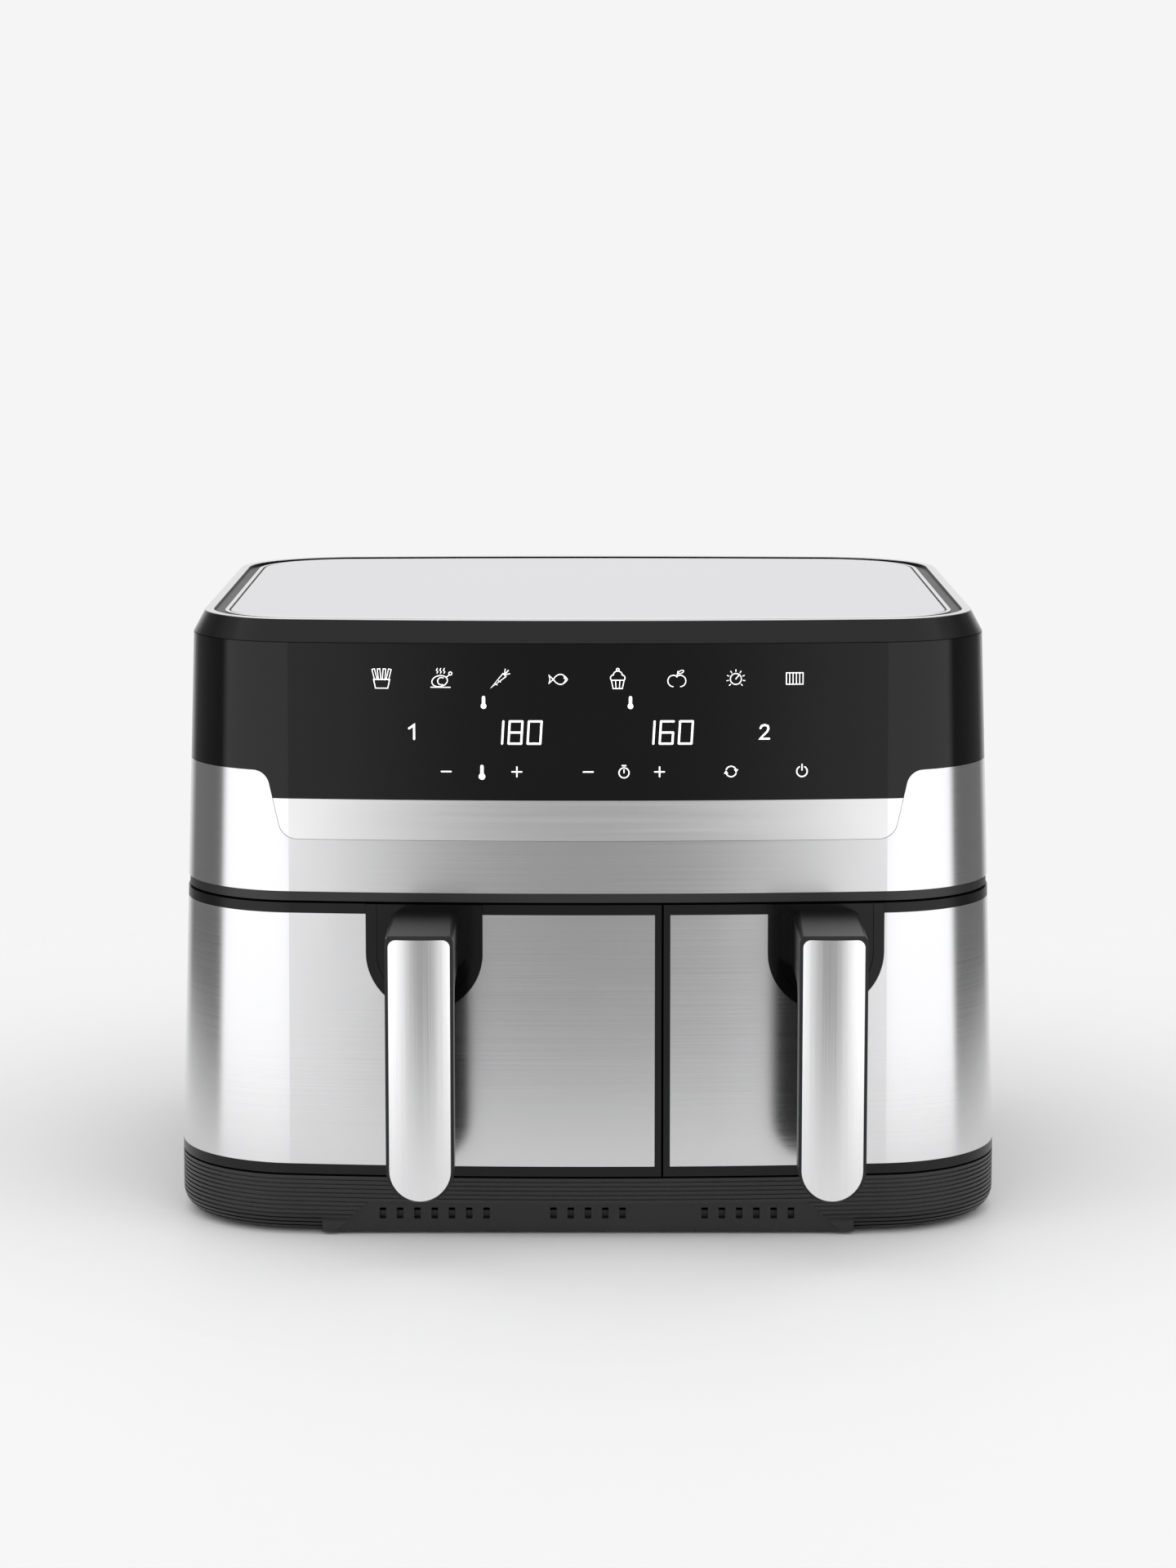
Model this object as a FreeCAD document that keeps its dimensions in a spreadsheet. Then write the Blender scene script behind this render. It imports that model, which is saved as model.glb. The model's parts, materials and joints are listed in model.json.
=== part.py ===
import FreeCAD, Part
import math
import os
import re
import Sketcher
from FreeCAD import Placement, Rotation, Vector

# An air fryer with two pull-out drawers of different widths under one hood.
# Millimetres. +Z is up, the front faces -Y, +X is to the right as seen from the front.
# The origin is on the floor, at the middle of the whole object's bounding box.

SIZES = {
    # whole body
    "width": 385, "depth": 345, "handle_reach": 55, "slope": 0.0335,
    "front_bow": 1343, "front_corner": 61.1, "rear_bow": 2030, "rear_corner": 72,
    # heights of the storeys, from the floor up
    "base_height": 28.7, "drawer_height": 127.2, "frame_line": 4.6, "band_height": 55.8,
    "panel_height": 59, "bezel_height": 10, "seam_gap": 0.5, "slack": 0.3,
    # walls
    "shell_wall": 2.5, "wrap_depth": 80, "carrier_outer": 1.6, "carrier_inner": 4.0,
    # base
    "foot_drop": 1.5, "rib_pitch": 2.05, "groove_height": 0.7, "groove_depth": 0.7, "base_round": 9,
    "skirt_wall": 4, "base_deck": 2.5, "arch_low_half": 119, "arch_high_half": 102, "arch_height": 16.1,
    "arch_depth": 8, "arch_wall": 2.5, "vent_low": 7.4, "vent_height": 5.2, "vent_width": 3,
    "vent_pitch": 8, "cover_wall": 3, "foot_radius": 9, "foot_inset": 45, "post_radius": 5,
    "screw_radius": 2, "head_radius": 4, "head_height": 1.6,
    # drawers
    "split": 34.15, "split_wall": 10, "panel_side_border": 3.05, "panel_border": 4.65, "panel_sheet": 0.7,
    "fascia_wall": 3.5, "fascia_depth": 19, "back_plate": 3, "side_room": 13.2, "rear_room": 62,
    "mouth_depth": 52, "mouth_wall": 4, "frame_inset": 5, "liner_sheet": 1, "heat_room": 38.5,
    "pan_gap": 8, "lip_gap": 2, "lip_sheet": 1.5, "pan_sheet": 1.2, "pan_corner": 30, "pan_round": 8,
    "pan_low": 36, "pan_high": 150, "pan_rear_gap": 3, "runner_width": 5, "runner_height": 3.2,
    # handles
    "grip_width": 30.5, "grip_depth": 16, "grip_low_gap": 1.3, "grip_high_gap": 3.7, "arm_height": 25,
    "grip_crown": 70, "grip_edge": 4, "facing_border": 1.5, "facing_sheet": 0.8,
    "mount_half": 26.7, "mount_rise": 22.6, "mount_proud": 1.0, "mount_line": 21.55, "mount_groove": 0.6,
    "handle_screw_pitch": 16, "pan_screw_pitch": 56, "pan_screw_drop": 35,
    # grill plates
    "grill_low": 50, "grill_sheet": 2.5, "grill_gap": 2.2, "grill_slot": 5, "grill_pitch": 13,
    "bumper_radius": 6, "bumper_inset": 26,
    # heating and air
    "left_coil": 62, "right_coil": 46, "coil_tube": 3.3, "coil_step": 12, "coil_rise": 11.5,
    "guard_edge": 16, "guard_post_inset": 8, "guard_rise": 1.5, "guard_sheet": 1.2, "guard_post": 2, "guard_hole": 3.6,
    "left_blades": 56, "right_blades": 38, "fan_low_gap": 20, "fan_height": 12, "blade_sheet": 1.2,
    "shaft_radius": 3, "shaft_fit": 0.05, "hub_radius": 8, "motor_radius": 24, "motor_height": 32,
    "bracket_rise": 4, "bracket_sheet": 1.6, "bracket_half": 35, "bracket_depth": 28,
    "cooler_gap": 4, "cooler_height": 14, "left_cooler": 42, "right_cooler": 40, "sensor_radius": 2.5,
    # front electronics
    "tab_slant_low": 142, "tab_slant_high": 146.2, "tab_height": 31.3,
    "tab_low_round": 8.5, "tab_high_round": 7.5, "strip_height": 18.5,
    "board_depth": 30, "board_sheet": 1.6, "board_half": 130, "board_height": 63, "board_drop": 7,
    "display_half": 60, "display_height": 20, "display_drop": 50, "display_depth": 6, "board_post": 3.5,
    "reed_half": 12, "reed_depth": 10, "reed_height": 7.5,
    # rear
    "rear_open_half": 95, "rear_open_low": 45, "rear_open_high": 245, "louvre_half": 34, "louvre_height": 4,
    "louvre_pitch": 9, "louvre_centre": 44, "louvre_low": 150, "gland_side": 112, "gland_level": 60,
    "gland_radius": 8, "gland_flange": 11, "gland_plate": 2, "gland_bore": 3.6,
    "power_half": 60, "power_low": 60, "power_height": 90, "power_room": 38,
    # top
    "bezel_inset": 5.4, "ring_width": 4.0, "channel_width": 5.3, "border_width": 1.8, "border_height": 4,
    "line_width": 0.8, "channel_drop": 1.5, "plate_drop": 0.4, "plate_sheet": 1.8, "deck_sheet": 2.5,
}

# Values that follow from the sizes above. Each is an expression in their names.
WORKED = {
    "front": "handle_reach - (depth + handle_reach) / 2",
    "rear": "front + depth",
    "grip_front": "front - handle_reach",
    "side_seam": "front + wrap_depth",
    "base_top": "base_height - seam_gap",
    "drawer_low": "base_height + seam_gap",
    "drawer_high": "base_height + drawer_height - seam_gap",
    "frame_low": "base_height + drawer_height + seam_gap",
    "band_low": "base_height + drawer_height + frame_line",
    "band_high": "band_low + band_height",
    "rim": "band_high + panel_height",
    "top": "rim + bezel_height",
    "cover_low": "foot_drop + 0.7",
    "cover_high": "cover_low + cover_wall",
    "cover_inset": "base_round + cover_wall",
    "deck_low": "base_top - base_deck",
    "arch_back": "front + arch_depth + arch_wall",
    "liner_half": "width / 2 - side_room",
    "liner_front": "front + mouth_depth + mouth_wall",
    "liner_rear": "rear - rear_room",
    "liner_high": "band_low + heat_room",
    "ceiling": "liner_high + liner_sheet",
    "door_back": "front + fascia_depth + back_plate",
    "pan_rear": "liner_rear - pan_rear_gap",
    "lip_low": "pan_high - lip_sheet",
    "middle": "(liner_front + liner_rear) / 2",
    "grip_low": "drawer_low + grip_low_gap",
    "grip_high": "drawer_high - grip_high_gap",
    "arm_low": "grip_high - arm_height",
    "grip_half": "grip_width / 2",
    "mount_centre": "drawer_high - mount_rise",
    "handle_screw_level": "mount_centre + 7",
    "pan_screw_level": "pan_high - pan_screw_drop",
    "coil_level": "band_low + coil_rise",
    "guard_low": "band_low + guard_rise",
    "fan_low": "band_low + fan_low_gap",
    "fan_high": "fan_low + fan_height",
    "bracket_low": "ceiling + bracket_rise",
    "motor_low": "bracket_low + bracket_sheet",
    "motor_high": "motor_low + motor_height",
    "cooler_low": "motor_high + cooler_gap",
    "cooler_high": "cooler_low + cooler_height",
    "tab_low": "band_high - tab_height",
    "strip_high": "tab_low + strip_height",
    "board_front": "front + board_depth",
    "board_high": "rim - board_drop",
    "board_low": "board_high - board_height",
    "display_high": "rim - display_drop + display_height",
    "power_front": "rear - power_room",
    "rim_inset": "slope * (rim - base_height)",
    "ring_inset": "rim_inset + bezel_inset",
    "channel_inset": "ring_inset + ring_width",
    "border_inset": "channel_inset + channel_width",
    "plate_inset": "border_inset + border_width + line_width",
    "channel_high": "top - channel_drop",
    "plate_high": "top - plate_drop",
    "deck_inset": "rim_inset + carrier_inner + slack",
}

doc = FreeCAD.newDocument("air_fryer")
sheet = doc.addObject("Spreadsheet::Sheet", "dims")
for row, (size_name, size) in enumerate(SIZES.items(), start=1):
    sheet.set(f"A{row}", size_name)
    sheet.set(f"B{row}", str(size))
    sheet.setAlias(f"B{row}", size_name)
doc.recompute()

nodes = []


# ---------------------------------------------------------------- expressions

def full(text):
    """The expression with every name spelled out down to the sheet's cells."""
    def spell(match):
        word = match.group(0)
        if word in SIZES:
            return "dims." + word
        if word in WORKED:
            return "(" + full(WORKED[word]) + ")"
        return word
    return re.sub(r"[a-z_][a-z_0-9]*", spell, str(text))


def value(text):
    """The expression's number, for the first guess that a sketch starts from."""
    return float(sheet.evalExpression(full(text)))


def bind(item, size, text):
    item.setExpression(size, full(text))


# ---------------------------------------------------------------- solids

TURNS = {
    "x": Rotation(Vector(0, 1, 0), 90),
    "y": Rotation(Vector(1, 0, 0), -90),
    "z": Rotation(),
}
PLANES = {
    "XY_Plane": Rotation(),
    "XZ_Plane": Rotation(Vector(1, 0, 0), 90),
    "YZ_Plane": Rotation(Vector(1, 1, 1), 120),
}
NORMALS = {"XY_Plane": ("z", 1), "XZ_Plane": ("y", -1), "YZ_Plane": ("x", 1)}


def place(item, x, y, z):
    for axis, text in zip("xyz", (x, y, z)):
        bind(item, f"Placement.Base.{axis}", text)


def box(name, x, y, z):
    """A block between two limits on each axis."""
    item = doc.addObject("Part::Box", name)
    for side, (low, high) in zip(("Length", "Width", "Height"), (x, y, z)):
        bind(item, side, f"({high}) - ({low})")
    place(item, x[0], y[0], z[0])
    return item


def rod(name, radius, low, high, centre, axis="z"):
    """A cylinder from low to high along one axis. Centre is its place on the other two, in order."""
    item = doc.addObject("Part::Cylinder", name)
    bind(item, "Radius", radius)
    bind(item, "Height", f"({high}) - ({low})")
    item.Placement = Placement(Vector(), TURNS[axis])
    spots = list(centre)
    spots.insert("xyz".index(axis), low)
    place(item, *spots)
    return item


def torus(name, ring, tube, x, y, z):
    item = doc.addObject("Part::Torus", name)
    bind(item, "Radius1", ring)
    bind(item, "Radius2", tube)
    place(item, x, y, z)
    return item


def join(name, items):
    item = doc.addObject("Part::MultiFuse", name)
    item.Shapes = items
    return item


def common(name, first, second):
    item = doc.addObject("Part::Common", name)
    item.Base = first
    item.Tool = second
    return item


def cut(name, base, tools):
    """Base without the tools."""
    item = doc.addObject("Part::Cut", name)
    item.Base = base
    item.Tool = tools[0] if len(tools) == 1 else join(name + "_tools", tools)
    return item


def node(name, item):
    """Names an object as a sub-part that is written to its own file."""
    item.Label = name
    nodes.append((name, item))
    return item


# ---------------------------------------------------------------- sketches

def keep(sketch, constraint, name, text):
    """Adds a constraint whose value follows an expression."""
    index = sketch.addConstraint(constraint)
    sketch.renameConstraint(index, name)
    bind(sketch, "Constraints." + name, text)


def outline(name, inset, level):
    """The body's plan: bowed front and back, straight sides, round corners, all moved in by inset."""
    half = value(f"width / 2 - ({inset})")
    bow = value(f"front_bow - ({inset})")
    corner = value(f"front_corner - ({inset})")
    back_bow = value(f"rear_bow - ({inset})")
    back_corner = value(f"rear_corner - ({inset})")
    near = value(f"front + ({inset})")
    far = value(f"rear - ({inset})")
    turn = math.asin((half - corner) / (bow - corner))
    corner_y = near + bow - (bow - corner) * math.cos(turn)
    back_turn = math.asin((half - back_corner) / (back_bow - back_corner))
    back_corner_y = far - back_bow + (back_bow - back_corner) * math.cos(back_turn)
    pi = math.pi

    def arc(x, y, radius, start, end):
        return Part.ArcOfCircle(Part.Circle(Vector(x, y, 0), Vector(0, 0, 1), radius), start, end)

    sketch = doc.addObject("Sketcher::SketchObject", name)
    bind(sketch, "Placement.Base.z", level)
    sketch.addGeometry([
        arc(0, near + bow, bow, -pi / 2 - turn, -pi / 2 + turn),
        arc(half - corner, corner_y, corner, -pi / 2 + turn, 0),
        Part.LineSegment(Vector(half, corner_y, 0), Vector(half, back_corner_y, 0)),
        arc(half - back_corner, back_corner_y, back_corner, 0, pi / 2 - back_turn),
        arc(0, far - back_bow, back_bow, pi / 2 - back_turn, pi / 2 + back_turn),
        arc(back_corner - half, back_corner_y, back_corner, pi / 2 + back_turn, pi),
        Part.LineSegment(Vector(-half, back_corner_y, 0), Vector(-half, corner_y, 0)),
        arc(corner - half, corner_y, corner, pi, 3 * pi / 2 - turn),
    ], False)
    rule = Sketcher.Constraint
    for index in range(8):
        sketch.addConstraint(rule("Tangent", index, 2, (index + 1) % 8, 1))
    sketch.addConstraint([rule("Vertical", 2), rule("Vertical", 6)])
    sketch.addConstraint([rule("PointOnObject", 0, 3, -2), rule("PointOnObject", 4, 3, -2)])
    keep(sketch, rule("Radius", 0, bow), "bow", f"front_bow - ({inset})")
    keep(sketch, rule("Radius", 4, back_bow), "back_bow", f"rear_bow - ({inset})")
    for index in (1, 7):
        keep(sketch, rule("Radius", index, corner), f"corner_{index}", f"front_corner - ({inset})")
    for index in (3, 5):
        keep(sketch, rule("Radius", index, back_corner), f"corner_{index}", f"rear_corner - ({inset})")
    keep(sketch, rule("DistanceX", -1, 1, 2, 1, half), "right_half", f"width / 2 - ({inset})")
    keep(sketch, rule("DistanceX", 6, 1, -1, 1, half), "left_half", f"width / 2 - ({inset})")
    keep(sketch, rule("DistanceY", -1, 1, 0, 3, near + bow), "bow_centre", "front + front_bow")
    keep(sketch, rule("DistanceY", 4, 3, -1, 1, back_bow - far), "back_bow_centre", "rear_bow - rear")
    return sketch


def prism(name, low_inset, high_inset, low, high):
    """The plan raised from low to high, moved in by one inset at the bottom and another at the top."""
    item = doc.addObject("Part::Extrusion", name)
    item.Base = outline(name + "_plan", low_inset, low)
    item.DirMode = "Custom"
    item.Dir = Vector(0, 0, 1)
    item.Solid = True
    bind(item, "LengthFwd", f"({high}) - ({low})")
    bind(item, "TaperAngle", f"atan((({low_inset}) - ({high_inset})) / (({high}) - ({low})))")
    return item


def form(name, inset, low, high):
    """A stretch of the body, whose sides lean in by slope as they rise above the base."""
    insets = [f"{inset} + slope * ({level} - base_height)" for level in (low, high)]
    return prism(name, insets[0], insets[1], low, high)


def skin(name, outer, inner, low, high, region):
    """The wall of a leaning stretch between two insets, kept inside a region."""
    wall = cut(name + "_wall", form(name + "_outer", outer, low, high), [form(name + "_inner", inner, low, high)])
    return common(name, wall, region)


def draw(sketch, tag, corners):
    """A closed run of lines in a sketch: each corner is (across, up, radius), with radius 0 where sharp."""
    rule = Sketcher.Constraint
    spots = [Vector(value(across), value(up), 0) for across, up, radius in corners]
    count = len(corners)
    ends = []
    for index, (across, up, radius) in enumerate(corners):
        here = spots[index]
        back = (spots[index - 1] - here).normalize()
        ahead = (spots[(index + 1) % count] - here).normalize()
        reach = 0
        if radius != 0:
            half_angle = back.getAngle(ahead) / 2
            reach = value(radius) / math.tan(half_angle)
        ends.append((here + back * reach, here + ahead * reach, back, ahead))
    first = sketch.GeometryCount
    sketch.addGeometry([
        Part.LineSegment(ends[index][1], ends[(index + 1) % count][0]) for index in range(count)
    ], False)
    for index, (across, up, radius) in enumerate(corners):
        line_in = first + (index - 1) % count
        line_out = first + index
        start, end, back, ahead = ends[index]
        mark = sketch.addGeometry(Part.Point(spots[index]), True)
        sketch.addConstraint([rule("PointOnObject", mark, 1, line_in), rule("PointOnObject", mark, 1, line_out)])
        keep(sketch, rule("DistanceX", -1, 1, mark, 1, spots[index].x), f"{tag}_across_{index}", across)
        keep(sketch, rule("DistanceY", -1, 1, mark, 1, spots[index].y), f"{tag}_up_{index}", up)
        if radius == 0:
            sketch.addConstraint(rule("Coincident", line_in, 2, line_out, 1))
            continue
        bend = value(radius)
        inward = (back + ahead).normalize()
        centre = spots[index] + inward * (bend / math.sin(back.getAngle(ahead) / 2))
        left_turn = back.cross(ahead).z < 0
        from_spot, to_spot = (start, end) if left_turn else (end, start)
        from_angle = math.atan2(from_spot.y - centre.y, from_spot.x - centre.x)
        to_angle = math.atan2(to_spot.y - centre.y, to_spot.x - centre.x)
        circle = Part.Circle(centre, Vector(0, 0, 1), bend)
        curve = sketch.addGeometry(Part.ArcOfCircle(circle, from_angle, to_angle), False)
        near_end, far_end = (1, 2) if left_turn else (2, 1)
        sketch.addConstraint(rule("Tangent", line_in, 2, curve, near_end))
        sketch.addConstraint(rule("Tangent", curve, far_end, line_out, 1))
        keep(sketch, rule("Radius", curve, bend), f"{tag}_radius_{index}", radius)


def draw_circle(sketch, tag, across, up, radius):
    rule = Sketcher.Constraint
    circle = Part.Circle(Vector(value(across), value(up), 0), Vector(0, 0, 1), value(radius))
    index = sketch.addGeometry(circle, False)
    keep(sketch, rule("DistanceX", -1, 1, index, 3, value(across)), tag + "_across", across)
    keep(sketch, rule("DistanceY", -1, 1, index, 3, value(up)), tag + "_up", up)
    keep(sketch, rule("Radius", index, value(radius)), tag + "_radius", radius)


def block(low_x, high_x, low_y, high_y, radius=0):
    """The corners of a rectangle, all with one radius."""
    return [(low_x, low_y, radius), (high_x, low_y, radius), (high_x, high_y, radius), (low_x, high_y, radius)]


def slab(name, plane, corners, low, high):
    """A flat outline carried through from low to high along the normal of its plane."""
    sketch = doc.addObject("Sketcher::SketchObject", name + "_outline")
    sketch.Placement = Placement(Vector(), PLANES[plane])
    axis, sign = NORMALS[plane]
    bind(sketch, f"Placement.Base.{axis}", low if sign > 0 else high)
    draw(sketch, "edge", corners)
    item = doc.addObject("Part::Extrusion", name)
    item.Base = sketch
    item.DirMode = "Normal"
    item.Solid = True
    bind(item, "LengthFwd", f"({high}) - ({low})")
    return item


# ---------------------------------------------------------------- bodies made of features

def body_sketch(body, name, plane, level):
    """A sketch on one of the body's own planes, moved along the plane's normal axis to level."""
    sketch = body.newObject("Sketcher::SketchObject", name)
    support = next(item for item in body.Origin.OriginFeatures if item.Role == plane)
    sketch.AttachmentSupport = [(support, "")]
    sketch.MapMode = "FlatFace"
    sign = NORMALS[plane][1]
    bind(sketch, "AttachmentOffset.Base.z", f"{sign} * ({level})")
    return sketch


def feature(body, kind, sketch, length, backward=False):
    """A Pad or a Pocket of a sketch. A Pad runs along the sketch's normal and a Pocket against it."""
    item = body.newObject("PartDesign::" + kind, sketch.Name + "_" + kind.lower())
    item.Profile = sketch
    item.Reversed = backward
    bind(item, "Length", length)
    body.Tip = item
    return item


def edges_where(shape, test):
    return [f"Edge{index}" for index, edge in enumerate(shape.Edges, start=1) if test(edge)]


def round_edges(body, name, radius, test):
    """Rounds the edges of the body's last feature that pass the test."""
    doc.recompute()
    base = body.Tip
    item = body.newObject("PartDesign::Fillet", name)
    item.Base = (base, edges_where(base.Shape, test))
    bind(item, "Radius", radius)
    body.Tip = item
    return item


def flat_at(level):
    """A test for edges that lie flat at one height."""
    height = value(level)

    def test(edge):
        return abs(edge.BoundBox.ZMin - height) < 0.01 and abs(edge.BoundBox.ZMax - height) < 0.01
    return test


# ---------------------------------------------------------------- regions

ALL_X = ("-width", "width")
ALL_Z = ("0", "top + 50")


def front_region(name):
    """Everything ahead of the seam on the body's sides."""
    return box(name, ALL_X, ("front - 20", "side_seam - slack"), ALL_Z)


# ---------------------------------------------------------------- base

def base_inset(level):
    """How far the rounded bottom edge of the base has moved in at a level."""
    return f"(base_round - sqrt(base_round ^ 2 - max(0; base_round - ({level} - foot_drop)) ^ 2))"


def make_base_tray():
    ribs = math.floor(value("(base_top - foot_drop) / rib_pitch"))
    layers = []
    for index in range(ribs):
        high = f"(base_top - {index} * rib_pitch)"
        low = f"({high} - rib_pitch + groove_height)"
        floor = f"({high} - rib_pitch)" if index < ribs - 1 else "foot_drop"
        layers.append(prism(f"rib_{index}", base_inset(low), base_inset(high), low, high))
        groove = [f"groove_depth + {base_inset(level)}" for level in (floor, low)]
        layers.append(prism(f"groove_{index}", groove[0], groove[1], floor, low))
    wall = join("base_layers", layers)
    lower_room = prism("base_lower_room", "cover_inset", "cover_inset", "0", "foot_drop + base_round")
    upper_room = prism("base_upper_room", "skirt_wall", "skirt_wall", "foot_drop + base_round", "deck_low")
    shell = cut("base_shell", wall, [lower_room, upper_room])
    backing = box("arch_backing", ("-arch_low_half - 4", "arch_low_half + 4"),
                  ("front + skirt_wall / 2", "arch_back"), ("foot_drop", "deck_low + 1"))
    inside = prism("arch_inside", "1", "1", "foot_drop", "deck_low + 1")
    arch = slab("arch", "XZ_Plane", [
        ("-arch_low_half", "0", 0), ("arch_low_half", "0", 0),
        ("arch_high_half", "arch_height", 3), ("-arch_high_half", "arch_height", 3),
    ], "front - 5", "front + arch_depth")
    slots = []
    for group, (first, count) in enumerate(((-95, 7), (-16, 5), (54, 6))):
        for index in range(count):
            middle = f"({first} + {index} * vent_pitch)"
            slots.append(box(f"vent_{group}_{index}", (middle + " - vent_width / 2", middle + " + vent_width / 2"),
                             ("front", "arch_back + 1"), ("vent_low", "vent_low + vent_height")))
    solid = join("base_solid", [shell, common("arch_wall_block", backing, inside)])
    node("base_tray", cut("base_tray", solid, [arch] + slots))


def corner_spots(inset):
    """The four places that lie one inset inside the body's corners."""
    return [(f"{side} * (width / 2 - {inset})", y)
            for side in (-1, 1) for y in (f"front + {inset}", f"rear - {inset}")]


def make_bottom_cover():
    plate = prism("cover_plate", "cover_inset + slack", "cover_inset + slack", "cover_low", "cover_high")
    posts = [rod(f"cover_post_{index}", "post_radius", "cover_low", "deck_low", spot)
             for index, spot in enumerate(corner_spots("foot_inset - 16"))]
    holes = []
    for index, spot in enumerate(corner_spots("foot_inset - 16")):
        holes.append(rod(f"cover_hole_{index}", "screw_radius + 0.1", "0", "deck_low", spot))
        holes.append(rod(f"cover_sink_{index}", "head_radius + 0.2", "0", "cover_low + head_height", spot))
    vents = [box(f"cover_vent_{side}_{index}", (f"{side} - 45", f"{side} + 45"),
                 (f"middle + {index} * 14", f"middle + {index} * 14 + 5"), ("0", "cover_high + 1"))
             for side in (-75, 75) for index in range(-4, 5)]
    node("bottom_cover", cut("bottom_cover", join("cover_solid", [plate] + posts), holes + vents))


def make_feet():
    feet = []
    for index, spot in enumerate(corner_spots("foot_inset")):
        foot = doc.addObject("Part::Cone", f"foot_{index}")
        bind(foot, "Radius1", "foot_radius - 1")
        bind(foot, "Radius2", "foot_radius")
        bind(foot, "Height", "cover_low")
        place(foot, spot[0], spot[1], "0")
        feet.append(foot)
    node("rubber_feet", join("rubber_feet", feet))


def make_base_screws():
    screws = []
    for index, spot in enumerate(corner_spots("foot_inset - 16")):
        head = rod(f"base_screw_head_{index}", "head_radius", "cover_low", "cover_low + head_height", spot)
        shank = rod(f"base_screw_shank_{index}", "screw_radius", "cover_low", "deck_low - slack", spot)
        screws += [head, shank]
    node("base_screws", join("base_screws", screws))


# ---------------------------------------------------------------- housing

def make_front_frame(zones):
    upright = common("frame_upright", form("frame_form", "frame_inset", "base_top", "band_low"),
                     box("frame_slice", ALL_X, ("front + mouth_depth", "liner_front"), ALL_Z))
    shelf = common("frame_shelf", form("shelf_form", "0.6", "frame_low", "band_low"), front_region("shelf_region"))
    rear_gap = box("shelf_gap", ("-liner_half - 2", "liner_half + 2"), ("liner_front", "rear"), ALL_Z)
    mouths = [box(f"{side}_mouth", (zone["low"], zone["high"]), ("front", "liner_front + 1"),
                  ("base_top + liner_sheet", "pan_high + 2.4")) for side, zone in zones.items()]
    solid = join("frame_solid", [upright, cut("shelf_open", shelf, [rear_gap])])
    node("front_frame", cut("front_frame", solid, mouths))


def rear_surface(level, across):
    """How far back the body's outside lies at a height and a distance from the middle."""
    return f"(rear - slope * ({level} - base_height) - ({across}) ^ 2 / (2 * rear_bow))"


def make_main_housing():
    region = box("housing_region", ALL_X, ("side_seam", "rear + 10"), ALL_Z)
    wall = skin("housing_skin", "0", "shell_wall", "base_top + slack", "rim - slack", region)
    window = box("housing_window", ("-rear_open_half", "rear_open_half"), ("liner_rear + 10", "rear + 10"),
                 ("rear_open_low", "rear_open_high"))
    hole = rod("housing_gland_hole", "gland_radius + slack", "liner_rear + 10", "rear + 10",
               ("gland_side", "gland_level"), "y")
    node("main_housing", cut("main_housing", wall, [window, hole]))


def make_rear_cover():
    region = box("rear_region", ("-rear_open_half + slack", "rear_open_half - slack"),
                 ("liner_rear + 10", "rear + 10"), ("rear_open_low + slack", "rear_open_high - slack"))
    plate = skin("rear_plate", "0.4", "shell_wall + 0.4", "rear_open_low - 5", "rear_open_high + 5", region)
    posts = [rod(f"power_post_{side}_{level}", "board_post", "power_front + board_sheet", "rear",
                 (f"{side} * (power_half - 8)", f"power_low + {level}"), "y")
             for side in (-1, 1) for level in ("8", "power_height - 8")]
    inside = form("rear_post_form", "1", "rear_open_low - 5", "rear_open_high + 5")
    solid = join("rear_solid", [plate, common("rear_posts", join("rear_post_rods", posts), inside)])
    rows = math.floor(value("(rear_open_high - louvre_low - 12) / louvre_pitch"))
    louvres = [box(f"louvre_{side}_{row}",
                   (f"{side} * louvre_centre - louvre_half", f"{side} * louvre_centre + louvre_half"),
                   ("rear - 30", "rear + 10"),
                   (f"louvre_low + {row} * louvre_pitch", f"louvre_low + {row} * louvre_pitch + louvre_height"))
               for side in (-1, 1) for row in range(rows)]
    node("rear_vent_cover", cut("rear_vent_cover", solid, louvres))


def make_cable_gland():
    spot = ("gland_side", "gland_level")
    face = rear_surface("gland_level", "gland_side - gland_flange") + " + 0.2"
    barrel = rod("gland_barrel", "gland_radius", f"{face} - 14", face, spot, "y")
    flange = rod("gland_disc", "gland_flange", face, f"{face} + gland_plate", spot, "y")
    bore = rod("gland_hole", "gland_bore", f"{face} - 20", "rear + 10", spot, "y")
    node("cable_gland", cut("cable_gland", join("gland_solid", [barrel, flange]), [bore]))


def make_front_carrier():
    wall = skin("carrier_skin", "carrier_outer", "carrier_inner", "band_low", "rim - slack",
                front_region("carrier_region"))
    posts = [rod(f"board_post_{side}_{level}", "board_post", "front", "board_front",
                 (f"{side} * (board_half - 10)", f"board_low + {level}"), "y")
             for side in (-1, 1) for level in ("8", "board_height - 8")]
    inside = form("carrier_post_form", "carrier_outer + 0.4", "band_low", "rim - slack")
    parts = [wall, common("carrier_posts", join("carrier_post_rods", posts), inside)]
    node("front_carrier", join("front_carrier", parts))


def panel_field(name, grow):
    """The control panel's field: everything above the steel band, with the wide tab that hangs into it."""
    corners = []
    for side in (-1, 1):
        run = [
            (f"{side} * width", f"band_high - {grow}", 0),
            (f"{side} * (tab_slant_high + 1.0 + {grow})", f"band_high - {grow}", "tab_high_round"),
            (f"{side} * (tab_slant_low - 2.0 + {grow})", f"tab_low - {grow}", "tab_low_round"),
        ]
        corners += run if side < 0 else run[::-1]
    corners += [("width", "top + 20", 0), ("-width", "top + 20", 0)]
    return slab(name, "XZ_Plane", corners, "front - 20", "side_seam + 5")


def make_steel_band():
    wall = skin("band_skin", "0", "1.2", "band_low + 0.2", "band_high", front_region("band_region"))
    node("steel_band", cut("steel_band", wall, [panel_field("band_field", "0.2")]))


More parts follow.
